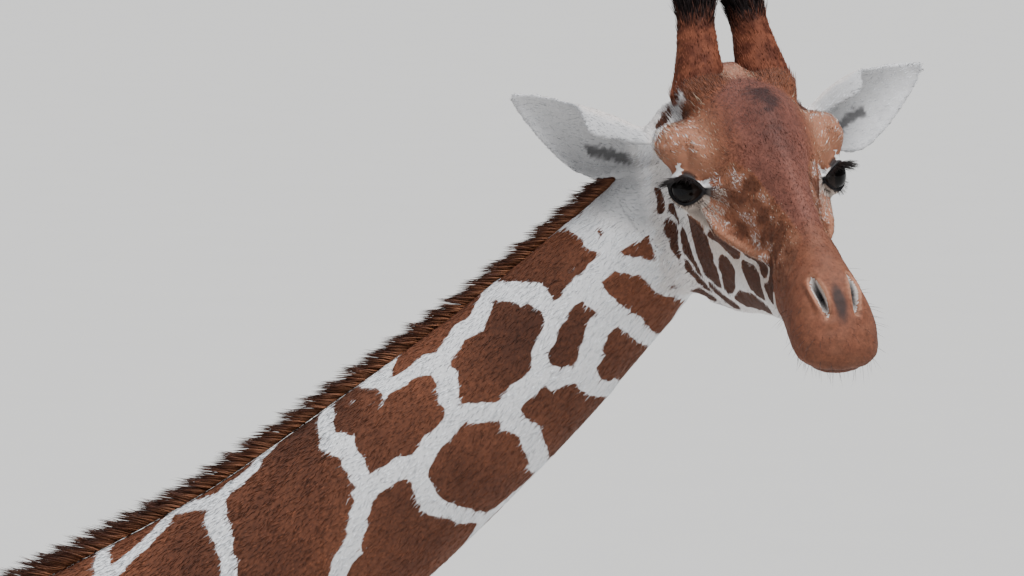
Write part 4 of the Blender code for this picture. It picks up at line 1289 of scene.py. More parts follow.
# -------- the finishes
DARK_SKIN_AND_SHADE = (0.012, 0.011, 0.013)  # near-black of lids, nostrils and lips, and painted shade in folds, grooves, ear hollows and nostril slits
PUPIL_COLOUR = (0.003, 0.003, 0.004)
DUST = (0.16, 0.125, 0.095)
HORN_COAT = (0.085, 0.026, 0.0155), (0.175, 0.058, 0.032)  # its darkest and its lightest


def maths(tree, operation, first, second=None, clamp=False):
    made = tree.nodes.new("ShaderNodeMath")
    made.operation, made.use_clamp = operation, clamp
    for socket, value in zip(made.inputs, (first, second)):
        if isinstance(value, (int, float)):
            socket.default_value = value
        elif value is not None:
            tree.links.new(value, socket)
    return made.outputs[0]


def blended(tree, factor, first, second, kind="MIX"):
    made = tree.nodes.new("ShaderNodeMix")
    made.data_type, made.blend_type = "RGBA", kind
    sockets = [made.inputs[0], made.inputs[6], made.inputs[7]]
    for socket, value in zip(sockets, (factor, first, second)):
        if isinstance(value, (int, float)):
            socket.default_value = value
        elif isinstance(value, tuple):
            socket.default_value = (*value[:3], 1.0)
        else:
            tree.links.new(value, socket)
    return made.outputs[2]


def layer_value(tree, name):
    made = tree.nodes.new("ShaderNodeAttribute")
    made.attribute_name = name
    return made.outputs["Fac"]


def object_place(tree):
    return tree.nodes.new("ShaderNodeTexCoord").outputs["Object"]


def noise_value(tree, where, scale, detail=3.0, roughness=0.55):
    made = tree.nodes.new("ShaderNodeTexNoise")
    made.inputs["Scale"].default_value = scale
    made.inputs["Detail"].default_value = detail
    made.inputs["Roughness"].default_value = roughness
    tree.links.new(where, made.inputs["Vector"])
    return made.outputs["Fac"]


def ranged(tree, value, low, high, to_low=0.0, to_high=1.0, smooth=True):
    made = tree.nodes.new("ShaderNodeMapRange")
    made.interpolation_type = "SMOOTHSTEP" if smooth else "LINEAR"
    for socket, setting in zip(made.inputs, (value, low, high, to_low, to_high)):
        if isinstance(setting, (int, float)):
            socket.default_value = setting
        else:
            tree.links.new(setting, socket)
    return made.outputs[0]


def grain_colour(tree, value):
    made = tree.nodes.new("ShaderNodeCombineColor")
    for socket in made.inputs[:3]:
        tree.links.new(value, socket)
    return made.outputs[0]


def lit(tree, colour, light):
    """A colour, made lighter or darker."""
    return blended(tree, 1.0, colour, grain_colour(tree, light), "MULTIPLY")


def bumped(tree, shader, height, strength, distance):
    bump = tree.nodes.new("ShaderNodeBump")
    bump.inputs["Strength"].default_value = strength
    bump.inputs["Distance"].default_value = distance
    tree.links.new(height, bump.inputs["Height"])
    tree.links.new(bump.outputs[0], shader.inputs["Normal"])


def marking_group(colours):
    """A node group that turns the markings' layers into the coat's colour."""
    group = bpy.data.node_groups.new("giraffe markings", "ShaderNodeTree")
    group.interface.new_socket("Colour", in_out="OUTPUT", socket_type="NodeSocketColor")
    group.interface.new_socket("Patch", in_out="OUTPUT", socket_type="NodeSocketFloat")
    where = object_place(group)
    brown, hue, mottle, cream, dark = (
        layer_value(group, name) for name in ("brown", "hue", "mottle", "cream", "dark")
    )
    fine, broad = noise_value(group, where, 420.0), noise_value(group, where, 55.0)
    wide = noise_value(group, where, 9.0, 2.0)
    wobble = maths(group, "MULTIPLY", maths(group, "SUBTRACT", fine, 0.5), 0.0035)
    patch = ranged(group, maths(group, "ADD", brown, wobble), -0.0009, 0.0009)
    fleck = noise_value(group, where, 170.0, 4.0, 0.65)
    cover = maths(group, "SUBTRACT", 0.98, maths(group, "MULTIPLY", mottle, 0.52))
    flecks = ranged(group, maths(group, "SUBTRACT", fleck, cover), -0.1, 0.06)
    unflecked = maths(group, "SUBTRACT", 1.0, maths(group, "MULTIPLY", flecks, 0.85))
    patch_seen = maths(group, "MULTIPLY", patch, unflecked)
    ramp = group.nodes.new("ShaderNodeValToRGB")
    stops = ramp.color_ramp.elements
    stops[0].position, stops[0].color = 0.0, (*colours.patch_colour, 1)
    stops[1].position, stops[1].color = 1.0, (*colours.forehead_colour, 1)
    stops.new(0.52).color = (*colours.muzzle_colour, 1)
    stops.new(0.78).color = (*colours.nose_colour, 1)
    group.links.new(hue, ramp.inputs[0])
    inward = ranged(group, brown, 0.0, 0.065)
    core = maths(group, "MULTIPLY", inward, maths(group, "ADD", maths(group, "MULTIPLY", wide, 0.9), 0.05))
    darker = blended(group, 1.0, ramp.outputs[0], (0.5, 0.42, 0.42), "MULTIPLY")
    deep = blended(group, core, ramp.outputs[0], darker)
    grain = ranged(group, broad, 0.25, 0.75, 0.84, 1.14, False)
    strands = noise_value(group, where, 190.0, 3.0, 0.7)
    grain = maths(group, "MULTIPLY", grain, ranged(group, strands, 0.32, 0.68, 0.68, 1.3, False))
    deep = lit(group, deep, grain)
    deep = blended(group, maths(group, "MULTIPLY", cream, 0.85), deep, tuple(colours.tan_colour))
    pale = blended(group, cream, tuple(colours.white_colour), tuple(colours.cream_colour))
    pale_grain = ranged(group, fine, 0.3, 0.7, 0.9, 1.06, False)
    pale = lit(group, pale, pale_grain)
    colour = blended(group, patch_seen, pale, deep)
    # The dark layer: dark skin and hair, and painted shade in folds, grooves, ear hollows, nostril slits and
    # the mouth's crease
    colour = blended(group, dark, colour, DARK_SKIN_AND_SHADE)
    output = group.nodes.new("NodeGroupOutput")
    group.links.new(colour, output.inputs["Colour"])
    group.links.new(patch_seen, output.inputs["Patch"])
    return group


def new_finish(name, roughness, specular=0.3):
    """A material and its tree and shader."""
    material = bpy.data.materials.new(name)
    material.use_nodes = True
    tree = material.node_tree
    shader = tree.nodes["Principled BSDF"]
    shader.inputs["Roughness"].default_value = roughness
    shader.inputs["Specular IOR Level"].default_value = specular
    return material, tree, shader


def placed_group(tree, group):
    made = tree.nodes.new("ShaderNodeGroup")
    made.node_tree = group
    return made


def skin_finish(group):
    material, tree, shader = new_finish("giraffe skin", 0.75)
    marked = placed_group(tree, group)
    # Painted shade: the skin, seen in the gaps between tufts, is darkened to about 0.8 of the markings'
    # colour.
    under = blended(tree, 1.0, marked.outputs["Colour"], (0.8, 0.78, 0.76), "MULTIPLY")
    tree.links.new(under, shader.inputs["Base Color"])
    bumped(tree, shader, noise_value(tree, object_place(tree), 700.0, 4.0, 0.6), 0.35, 0.001)
    return material


def coat_finish(group):
    material, tree, shader = new_finish("giraffe coat", 0.7, 0.12)
    marked = placed_group(tree, group)
    tip, shade = layer_value(tree, "tip"), layer_value(tree, "shade")
    # Painted shade and light: a tuft is darker at its root, where the tufts over it shade it, and lighter at
    # its tip; the shade layer adds a random tone per tuft.
    grown = ranged(tree, tip, 0.0, 1.0, 0.6, 1.16, False)
    light = maths(tree, "ADD", grown, ranged(tree, shade, 0.0, 1.0, -0.26, 0.26, False))
    tree.links.new(lit(tree, marked.outputs["Colour"], light), shader.inputs["Base Color"])
    shader.inputs["Sheen Weight"].default_value = 0.04
    shader.inputs["Sheen Roughness"].default_value = 0.45
    return material


def hair_finish(name, root, tip, roughness=0.5):
    """Long hair: its colour runs from root to tip and differs from hair to hair."""
    material, tree, shader = new_finish(name, roughness, 0.35)
    grown, shade = layer_value(tree, "tip"), layer_value(tree, "shade")
    grown = maths(tree, "ADD", grown, ranged(tree, shade, 0.0, 1.0, -0.22, 0.22, False), clamp=True)
    colour = blended(tree, ranged(tree, grown, 0.15, 0.75), root, tip)
    light = ranged(tree, shade, 0.0, 1.0, 0.75, 1.25, False)
    tree.links.new(lit(tree, colour, light), shader.inputs["Base Color"])
    return material


# -------- sizes and colours a user may change
def colour(name, what, default):
    return FloatVectorProperty(
        name=name, description=f"Colour of {what}", default=default, min=0.0, max=1.0, size=3, subtype="COLOR"
    )


def length(name, description, default):
    return FloatProperty(
        name=name, description=description, default=default, min=0.0, subtype="DISTANCE", unit="LENGTH"
    )


def power(name, description, default, **unit):
    return FloatProperty(name=name, description=description, default=default, min=0.0, **unit)


class GiraffeMarkings(bpy.types.PropertyGroup):
    white_colour: colour("White", "the net between the patches", (0.86, 0.88, 0.92))
    cream_colour: colour("Cream", "the pale hair of cheeks and nostrils", (0.44, 0.32, 0.23))
    patch_colour: colour("Patches", "the patches on neck and body", (0.052, 0.017, 0.0085))
    muzzle_colour: colour("Muzzle", "the nose and lips", (0.215, 0.074, 0.036))
    nose_colour: colour("Nose", "the nose from above and round the forehead", (0.185, 0.068, 0.048))
    tan_colour: colour("Tan", "the brows and the hair between the horns", (0.42, 0.2, 0.125))
    forehead_colour: colour("Forehead", "the forehead where it is darkest", (0.046, 0.0155, 0.0135))


class GiraffeCoat(bpy.types.PropertyGroup):
    head_length: length("Head Hair", "Length of a tuft on the head", 0.0072)
    neck_length: length("Neck Hair", "Length of a tuft on the neck", 0.0105)
    body_length: length("Body Hair", "Length of a tuft on trunk and legs", 0.02)
    head_spacing: length("Head Spacing", "Distance between tufts on the head", 0.0026)
    neck_spacing: length("Neck Spacing", "Distance between tufts on the neck", 0.0048)
    body_spacing: length("Body Spacing", "Distance between tufts on trunk and legs", 0.0115)


class GiraffeEyes(bpy.types.PropertyGroup):
    iris_colour: colour("Iris", "the iris", (0.003, 0.0019, 0.0016))
    white_colour: colour("White of the Eye", "the eye's edge behind the lids", (0.02, 0.013, 0.011))
    lash_length: length("Lashes", "Length of the longest upper lashes", 0.028)
    whisker_length: length("Whiskers", "Length of the longest whiskers", 0.028)


class GiraffeHair(bpy.types.PropertyGroup):
    root_colour: colour("Mane Roots", "the mane at the neck", (0.34, 0.14, 0.07))
    tip_colour: colour("Mane Tips", "the mane's tips", (0.08, 0.025, 0.013))
    dark_colour: colour("Dark Hair", "the tassel, the lashes and the horns' tufts", (0.014, 0.01, 0.01))
    mane_length: length("Mane", "Length of a lock of the mane at the withers", 0.074)
    mane_locks: IntProperty(name="Mane Locks", description="Locks in the mane", default=7000, min=100)
    tassel_locks: IntProperty(name="Tassel Locks", description="Locks in the tassel", default=900, min=50)


class GiraffeHooves(bpy.types.PropertyGroup):
    horn_colour: colour("Hoof", "the hooves", (0.045, 0.034, 0.03))
    ring_depth: length("Growth Rings", "Depth of the rings round a hoof", 0.0007)


class GiraffeStage(bpy.types.PropertyGroup):
    floor_colour: colour("Floor", "the floor", (0.8, 0.79, 0.77))
    light_power: power("Main Light", "Power of the large light over the animal", 380.0, unit="POWER")
    sky_power: power("Sky Light", "Strength of the broad light from above", 4.0)
    world_strength: power("Ambient Light", "Strength of the light from all round", 0.24)


# -------- pieces
def shared_group():
    return bpy.data.node_groups.get("giraffe markings") or marking_group(bpy.context.scene.giraffe_markings)


def skin_in_body_axes():
    """A copy of the finished skin's mesh, back in the body's axes."""
    mesh = bpy.data.objects["skin"].data.copy()
    mesh.transform(row_shift().inverted())
    return mesh


FLESH = ["head", "neck", "trunk", "tail", "ear_left", "ear_right", *(f"leg_{stance}" for stance in STANCE)]


class GIRAFFE_OT_skin(bpy.types.Operator):
    """Make the skin of the whole animal, with its markings"""

    bl_idname = "giraffe.skin"
    bl_label = "Skin"

    def execute(self, context):
        mesh = shaped_face(whole_skin())
        points, normals = points_of(mesh), normals_of(mesh)
        set_points(mesh, points - normals * coat_depth(points)[:, None])
        for name, values in markings(points, normals, patch_seeds()).items():
            add_layer(mesh, name, values)
        in_place("skin", mesh, skin_finish(shared_group()), "coat", *FLESH)
        return {"FINISHED"}


def on_head(points):
    """Whether points are on the head, but for its ears and its nostrils' slits."""
    at = to_head(points)
    nose = np.abs(at[:, 0] - 0.33) < 0.06  # all that can be near a slit
    free = np.ones(len(at), bool)
    free[nose] = np.minimum(*(slit_distance(at[nose], side)[0] for side in (-1, 1))) > SLIT_HALF + 0.001
    return (head_side(points) > -0.004) & (on_ears(at) < 0.5) & free


def on_neck(points):
    above = past_plane(NECK_SEAM, points) > -0.1
    return above & (head_side(points) <= 0.004) & (on_ears(to_head(points)) < 0.5)


STRETCHES = {  # of the coat: which points they hold, in body axes
    "face": lambda at: on_head(at) & (to_head(at)[:, 0] > 0.055),
    "crown": lambda at: on_head(at) & (to_head(at)[:, 0] <= 0.058),
    "ears": lambda at: on_ears(to_head(at)) >= 0.5,
    "neck_upper": lambda at: on_neck(at) & (at[:, 0] > 1.33),
    "neck_lower": lambda at: on_neck(at) & (at[:, 0] <= 1.34),
    "trunk": lambda at: (past_plane(NECK_SEAM, at) < -0.08) & (at[:, 2] > 1.64),
    "legs": lambda at: (at[:, 2] < 1.66) & (at[:, 0] > -0.83) & (at[:, 2] > 0.09),
}


class GIRAFFE_OT_coat(bpy.types.Operator):
    """Lay short flat tufts of hair over the skin"""

    bl_idname = "giraffe.coat"
    bl_label = "Coat"

    def execute(self, context):
        sizes = context.scene.giraffe_coat
        skin = skin_in_body_axes()
        finish = coat_finish(shared_group())
        head, neck, body = sizes.head_length, sizes.neck_length, sizes.body_length
        head_gap, neck_gap, body_gap = sizes.head_spacing, sizes.neck_spacing, sizes.body_spacing
        tufts = {  # chart, seed, spacing; a tuft's length, width, height, lift
            "face": (head_chart, 101, head_gap, 0.85 * head, 0.0014, 0.0005, 0.0012),
            "crown": (head_chart, 105, 1.1 * head_gap, head, 0.0016, 0.0006, 0.0013),
            "ears": (ear_chart, 111, 0.004, 0.0085, 0.0018, 0.0005, 0.0012),
            "neck_upper": (body_chart, 121, neck_gap, neck, 0.0023, 0.0008, 0.0017),
            "neck_lower": (body_chart, 131, 1.2 * neck_gap, 1.2 * neck, 0.0034, 0.0009, 0.002),
            "trunk": (body_chart, 141, body_gap, body, 0.0052, 0.0012, 0.0028),
            "legs": (leg_chart, 151, 0.9 * body_gap, 0.9 * body, 0.0046, 0.0011, 0.0024),
        }
        for part, wanted in STRETCHES.items():
            mesh = coat_mesh(f"coat_{part}", skin, wanted, *tufts[part])
            in_place(f"coat_{part}", mesh, finish, "coat")
        return {"FINISHED"}


def eye_finish(colours):
    material, tree, shader = new_finish("giraffe eye", 0.1, 0.06)
    outward = layer_value(tree, "outward")
    where = object_place(tree)
    streaks = ranged(tree, noise_value(tree, where, 900.0, 4.0, 0.6), 0.3, 0.7, 0.5, 1.6, False)
    iris = lit(tree, tuple(colours.iris_colour), streaks)
    pupil = ranged(tree, layer_value(tree, "pupil"), 0.9, 1.1)
    iris = blended(tree, pupil, PUPIL_COLOUR, iris)
    rim = ranged(tree, outward, 0.86, 1.04)
    tree.links.new(blended(tree, rim, iris, tuple(colours.white_colour)), shader.inputs["Base Color"])
    shader.inputs["Coat Weight"].default_value = 0.12
    shader.inputs["Coat Roughness"].default_value = 0.04
    return material


def eyeball_mesh(side):
    """A globe with its clear dome: outward is the angle from its middle, as a share of the iris."""
    out, along, up = lid_axes(side)
    bm = bmesh.new()
    bmesh.ops.create_uvsphere(bm, u_segments=96, v_segments=64, radius=1.0)
    at = np.array([v.co for v in bm.verts])
    angle = np.arccos(np.clip(at[:, 2], -1, 1))
    dome = 0.0022 * step(math.radians(42), math.radians(20), angle)
    turned = np.stack([np.array(along), np.array(up), np.array(out)])
    points = at @ turned * (EYE_RADIUS - 0.0012 + dome)[:, None]
    for vert, place in zip(bm.verts, points):
        vert.co = mirrored(EYE_CENTRE, side) + Vector(place)
    bmesh.ops.transform(bm, matrix=head_matrix(), verts=bm.verts)
    bmesh.ops.recalc_face_normals(bm, faces=bm.faces)
    mesh = as_mesh(bm)
    add_layer(mesh, "outward", angle / math.radians(44))
    add_layer(mesh, "pupil", np.hypot(at[:, 0] / 0.4, at[:, 1] / 0.16) + (at[:, 2] < 0) * 9)
    return mesh


class GIRAFFE_OT_eyes(bpy.types.Operator):
    """Make the two eyeballs"""

    bl_idname = "giraffe.eyes"
    bl_label = "Eyes"

    def execute(self, context):
        finish = eye_finish(context.scene.giraffe_eyes)
        for word, side in SIDES.items():
            in_place(f"eyeball_{word}", eyeball_mesh(side), finish, "eye", f"eye_{word}")
        return {"FINISHED"}


def lash_mesh(side, longest):
    """Upper and lower lashes, rooted on the rims of the lids."""
    out, along, up = (np.array(axis) for axis in lid_axes(side))
    rng = np.random.default_rng(31)
    rows = [  # number, which lid, longest, bend down
        (300, 1, 1.0, 0.12),
        (60, -1, 0.35, 0.05),
    ]
    roots, ways, tops, bends, lengths = [], [], [], [], []
    for count, lid, share, bend in rows:
        for number in range(count):
            place = (number + rng.random()) / count * 1.84 - 0.92
            arch = math.cos(abs(place) * math.pi / 2)
            high = LID_UP * arch**0.75 if lid > 0 else -LID_DOWN * arch**0.85
            high += lid * rng.uniform(0.02, 0.11)
            round_ = place * LID_REACH + LID_SHIFT
            flat = math.cos(high)
            way = out * math.cos(round_) * flat + along * math.sin(round_) * flat + up * math.sin(high)
            roots.append(way * (EYE_RADIUS + 0.0024))
            fan = rng.normal(0, 0.1)
            hang = 0.42 if lid > 0 else 0.25
            away = way * 0.75 + along * (0.3 * place - 0.12 + fan) - up * (hang + rng.normal(0, 0.08))
            ways.append(away / np.linalg.norm(away))
            tops.append(up * lid)
            reach = longest * share * rng.uniform(0.6, 1.0) * (0.55 + 0.45 * arch**0.5)
            reach *= 1.0 - 0.55 * max(place, 0) if lid > 0 else 1.0
            lengths.append(reach)
            bends.append((up * -bend + along * 0.1 * place) * reach)
    lengths, count = np.array(lengths), len(lengths)
    roots = np.array(roots) + np.array(mirrored(EYE_CENTRE, side))
    ways, tops, bends = (from_head(np.array(each)) for each in (ways, tops, bends))
    return hair_mesh(
        "lashes", moved(roots, head_matrix()), ways, tops, bends, lengths, 0.00085, 0.0006, 5,
        columns(np.linspace(0.02, 0.98, count), rng.uniform(0.02, 0.98, count)),
        {"shade": rng.random(count)},
    )


class GIRAFFE_OT_lashes(bpy.types.Operator):
    """Make the eyelashes"""

    bl_idname = "giraffe.lashes"
    bl_label = "Eyelashes"

    def execute(self, context):
        dark = dark_finish(context.scene.giraffe_hair)
        for word, side in SIDES.items():
            mesh = lash_mesh(side, context.scene.giraffe_eyes.lash_length)
            in_place(f"lashes_{word}", mesh, dark, "dark_hair")
        return {"FINISHED"}


def dark_finish(colours):
    name, dark = "giraffe dark hair", tuple(colours.dark_colour)
    return bpy.data.materials.get(name) or hair_finish(name, dark, dark)


def nearest_on_skin(skin, points):
    """The nearest places on the skin and its normals there."""
    places = points_of(skin)
    tree = tree_of(places)
    found = [tree.find(point)[1] for point in points]
    return places[found], normals_of(skin)[found]


class GIRAFFE_OT_whiskers(bpy.types.Operator):
    """Make the whiskers of lips, chin and brows"""

    bl_idname = "giraffe.whiskers"
    bl_label = "Whiskers"

    def execute(self, context):
        longest = context.scene.giraffe_eyes.whisker_length
        rng = np.random.default_rng(41)
        spots = []
        for _ in range(150):
            spots.append((rng.uniform(0.24, 0.4), rng.uniform(-0.075, 0.065), rng.uniform(-0.12, -0.02)))
        for _ in range(36):
            side = rng.choice((-1, 1))
            forward, off = rng.uniform(-0.03, 0.05), rng.uniform(0.09, 0.12)
            spots.append((forward, side * off, rng.uniform(-0.075, -0.045)))
        skin = skin_in_body_axes()
        places, normals = nearest_on_skin(skin, [head_matrix() @ Vector(spot) for spot in spots])
        count = len(places)
        down = np.array([0, 0, -1.0])
        ways = unit(normals * 0.9 + 0.5 * lie_of_coat(places, normals) + rng.normal(0, 0.12, (count, 3)))
        lengths = longest * rng.uniform(0.35, 1.0, count)
        charts = columns(np.linspace(0.02, 0.98, count), rng.uniform(0.02, 0.98, count))
        mesh = hair_mesh(
            "whiskers", places - normals * 0.001, ways, normals, down * 0.15 * lengths[:, None],
            lengths, 0.00055, 0.00055, 4, charts, {"shade": rng.random(count)},
        )
        in_place("whiskers", mesh, dark_finish(context.scene.giraffe_hair), "dark_hair")
        return {"FINISHED"}


def back_line(along):
    """A point on the crest of the neck for a share from withers to poll, the way on and the way out."""
    start, end = WITHERS / (len(BODY) - 1), (POLL - 1) / (len(BODY) - 1)
    places = start + (end - start) * along
    zero = np.zeros(len(places))
    way = unit(body_shape(places + 0.004, zero) - body_shape(places - 0.004, zero))
    return body_shape(places, zero), way, unit(columns(-way[:, 2], zero, way[:, 0]))


class GIRAFFE_OT_mane(bpy.types.Operator):
    """Make the mane, a narrow band of leaning locks"""

    bl_idname = "giraffe.mane"
    bl_label = "Mane"

    def execute(self, context):
        settings = context.scene.giraffe_hair
        finish = hair_finish("giraffe mane", tuple(settings.root_colour), tuple(settings.tip_colour))
        rng = np.random.default_rng(51)
        count = settings.mane_locks
        along = (np.arange(count) + rng.random(count)) / count
        place, way, out = back_line(along)
        side = np.cross(way, out)
        across = np.clip(rng.normal(0, 0.45, count), -1, 1)
        size = (1 - 0.45 * along) * (0.35 + 0.65 * step(0.0, 0.06, along))
        size *= 0.45 + 0.55 * step(1.0, 0.94, along)
        clump = np.sin(along * 2 * math.pi * 58 + 0.8 * np.sin(along * 41))
        lengths = settings.mane_length * size * rng.uniform(0.82, 1.06, count) * (1 + 0.05 * clump)
        lengths *= 1 - 0.35 * np.abs(across)
        roots = place + side * (across * MANE_HALF * (1 - 0.3 * along))[:, None] - out * 0.006
        lean = 0.78 + 0.08 * rng.normal(0, 1, count) - 0.12 * clump
        splay = 0.3 * across + rng.normal(0, 0.07, count)
        ways = unit(out * 0.8 - way * lean[:, None] + side * splay[:, None])
        bends = (-way * 0.16 - out * 0.05) * lengths[:, None]
        charts = columns(0.01 + 0.97 * along, 0.5 + 0.48 * across)
        mesh = hair_mesh(
            "mane_locks", roots, ways, unit(np.cross(side, ways)), bends, lengths, 0.0032, 0.0016, 3, charts,
            {"shade": rng.random(count)},
        )
        in_place("mane_locks", mesh, finish, "dark_hair", "mane")
        return {"FINISHED"}


class GIRAFFE_OT_tassel(bpy.types.Operator):
    """Make the tassel at the end of the tail"""

    bl_idname = "giraffe.tassel"
    bl_label = "Tail Tassel"

    def execute(self, context):
        settings = context.scene.giraffe_hair
        rng = np.random.default_rng(61)
        count = settings.tassel_locks
        tail_x, tail_z = TAIL_PATH[-1]
        angle, inner = rng.uniform(0, 2 * math.pi, count), np.sqrt(rng.random(count))
        ring = columns(np.cos(angle), np.sin(angle), np.zeros(count)) * inner[:, None]
        roots = np.array([tail_x, 0, tail_z]) + ring * 0.01
        roots[:, 2] += rng.uniform(-0.05, 0.1, count) * inner
        lengths = rng.uniform(0.38, 0.64, count)
        ways = unit(np.array([0, 0, -1.0]) + ring * np.array([0.16, 0.14, 0]))
        bends = -ring * np.array([0.085, 0.078, 0]) + rng.normal(0, 0.006, (count, 3))
        bottom = roots[:, 2] - lengths
        lengths -= np.maximum(tail_z - TASSEL_DROP - bottom, 0)
        charts = columns(0.01 + 0.97 * angle / (2 * math.pi), 0.01 + 0.97 * inner)
        mesh = hair_mesh(
            "tassel", roots, ways, unit(ring + 1e-6), bends, lengths, 0.004, 0.0022, 7, charts,
            {"shade": rng.random(count)},
        )
        in_place("tassel", mesh, dark_finish(settings), "dark_hair", "tail_tuft")
        return {"FINISHED"}


def horn_place(side):
    """From a horn's own axes, with z along it and x inwards, to the body's."""
    turn = mirrored(HORN_AXIS, side).to_track_quat("Z", "X").to_matrix().to_4x4()
    return head_matrix() @ Matrix.Translation(mirrored(HORN_ROOT, side)) @ turn


class GIRAFFE_OT_ossicones(bpy.types.Operator):
    """Make the two hair-covered horns with their black tufts"""

    bl_idname = "giraffe.ossicones"
    bl_label = "Ossicones"

    def execute(self, context):
        coat = coat_finish_of_horns(context.scene.giraffe_hair)
        for word, side in SIDES.items():
            core = loft(72, 64, lambda *at: horn_points(*at, side))
            add_layer(core, "grown", moved(points_of(core), horn_place(side).inverted())[:, 2] / HORN_LENGTH)
            add_layer(core, "shade", np.full(len(core.vertices), 0.5))
            # The core takes a tuft root's value, so it carries the painted shade between the hairs.
            add_layer(core, "tip", np.full(len(core.vertices), 0.2))
            in_place(f"horn_{word}", core.copy(), coat, "coat", f"ossicone_{word}")
            mesh = horn_hair(core, side)
            in_place(f"coat_horn_{word}", mesh, coat, "coat")
        return {"FINISHED"}


def horn_points(along, angle, side):
    height, radius = through(numbered(HORN), along).T
    radius = radius - 0.0025 * (radius > 0.01)
    knobs = 0.0012 * np.sin(3 * angle + 14 * along + side) + 0.0009 * np.sin(5 * angle - 21 * along)
    radius = radius + knobs * hump(along, 0.5, 0.45)
    points = columns(radius * np.cos(angle), 0.93 * radius * np.sin(angle), height)
    return moved(points, horn_place(side))


def horn_hair(core, side):
    """Short hair that runs up the horn, and a brush of long black hair round its top."""
    axis = horn_place(side)
    roots, normals = scattered(core, lambda at: at[:, 2] > -9, 0.0036, 71)
    rng = np.random.default_rng(72)
    up = np.array(axis.to_3x3() @ Vector((0, 0, 1)))
    at = moved(roots, axis.inverted())
    share = at[:, 2] / HORN_LENGTH
    kept = (share > 0.02) & (share < 0.985)
    roots, normals, at, share = roots[kept], normals[kept], at[kept], share[kept]
    count = len(roots)
    black = step(0.52, 0.68, share + 0.06 * ripple(at, 0.02, 73))
    top = step(0.86, 0.95, share)
    along = unit(up - normals * (normals @ up)[:, None] + rng.normal(0, 0.12, (count, 3)))
    long = 0.009 + 0.02 * black * (1 - 0.4 * top) + 0.01 * step(0.22, 0.05, share)
    long *= rng.uniform(0.7, 1.25, count)
    long = np.minimum(long, np.maximum(0.01 + HORN_LENGTH - at[:, 2], 0.004))
    ways = unit(along + normals * (0.16 + 0.16 * black)[:, None])
    charts = columns(spread(np.arctan2(at[:, 1], at[:, 0]), -math.pi, math.pi), spread(share, 0.0, 1.0))
    return hair_mesh(
        "horn hair", roots - normals * 0.0008, ways, normals, -normals * 0.0006, long,
        0.002 * (1 - 0.3 * black), 0.0008, 2, charts,
        {"shade": rng.random(count), "grown": share + 0.05 * ripple(at, 0.012, 74)},
    )


def coat_finish_of_horns(hairs):
    material, tree, shader = new_finish("giraffe horn coat", 0.75, 0.1)
    tip, shade, grown = (layer_value(tree, name) for name in ("tip", "shade", "grown"))
    where = object_place(tree)
    mix = blended(tree, ranged(tree, noise_value(tree, where, 60.0), 0.35, 0.65), *HORN_COAT)
    mix = blended(tree, ranged(tree, grown, 0.5, 0.66), mix, tuple(hairs.dark_colour))
    # Painted shade and light: hair darker at its root and lighter at its tip.
    painted_root_shade = ranged(tree, tip, 0.0, 1.0, 0.7, 1.15, False)
    light = maths(tree, "ADD", painted_root_shade, ranged(tree, shade, 0.0, 1.0, -0.15, 0.15, False))
    tree.links.new(lit(tree, mix, light), shader.inputs["Base Color"])
    return material


def hoof_points(stance, along, angle, rings):
    forward, left = STANCE[stance]
    height, offset, length, width = through(numbered(HOOF), 1 - along).T
    round_ = np.cos(angle)
    cleft = np.abs(np.sin(angle)) ** 0.5
    toes = 1 - 0.16 * (1 - cleft) * step(-0.2, 0.6, round_) - 0.1 * (1 - cleft) * step(0.2, -0.6, round_)
    ridge = rings * np.sin(height / 0.0052) * hump(along, 0.5, 0.5)
    size = np.sqrt(np.clip(1 - (2 * along - 1) ** 24, 0, 1))
    x = forward + offset + (length * toes + ridge - 0.001) * np.cos(angle) * size
    y = left + (width * (1 - 0.05 * (1 - cleft)) + ridge - 0.001) * np.sin(angle) * size
    return columns(x, y, np.clip(height, 0.0006, None))


def hoof_finish(colours):
    material, tree, shader = new_finish("giraffe hoof", 0.5, 0.35)
    where = object_place(tree)
    mapped = tree.nodes.new("ShaderNodeMapping")
    mapped.inputs["Scale"].default_value = (1.0, 1.0, 6.0)
    tree.links.new(where, mapped.inputs["Vector"])
    bands = noise_value(tree, mapped.outputs[0], 14.0, 5.0, 0.6)
    horn = Vector(colours.horn_colour)
    worn = blended(tree, ranged(tree, bands, 0.3, 0.75), tuple(horn * 0.6), tuple(horn * 2.2))
    dust = ranged(tree, noise_value(tree, where, 40.0, 4.0, 0.6), 0.45, 0.75)
    dusty = blended(tree, maths(tree, "MULTIPLY", dust, 0.45), worn, DUST)
    tree.links.new(dusty, shader.inputs["Base Color"])
    tree.links.new(ranged(tree, bands, 0.2, 0.8, 0.38, 0.68, False), shader.inputs["Roughness"])
    bumped(tree, shader, noise_value(tree, mapped.outputs[0], 60.0, 5.0, 0.65), 0.5, 0.0015)
    return material


class GIRAFFE_OT_hooves(bpy.types.Operator):
    """Make the four cloven hooves"""

    bl_idname = "giraffe.hooves"
    bl_label = "Hooves"

    def execute(self, context):
        settings = context.scene.giraffe_hooves
        finish = hoof_finish(settings)
        for stance in STANCE:
            mesh = loft(90, 128, lambda *at: hoof_points(stance, *at, settings.ring_depth))
            in_place(f"claws_{stance}", mesh, finish, "hoof", f"hoof_{stance}")
        return {"FINISHED"}


# -------- the stage
CAMERA_RIGHT = Vector((0.978, 0.208, 0.0)).normalized()
CAMERA_BACK = Vector((0.2068, -0.9728, 0.1045)).normalized()
CAMERA_DISTANCE, CAMERA_LENS = 8.13, 200.0
AIM = (-0.351, -0.151)  # from the middle between the eyes, to the right and up


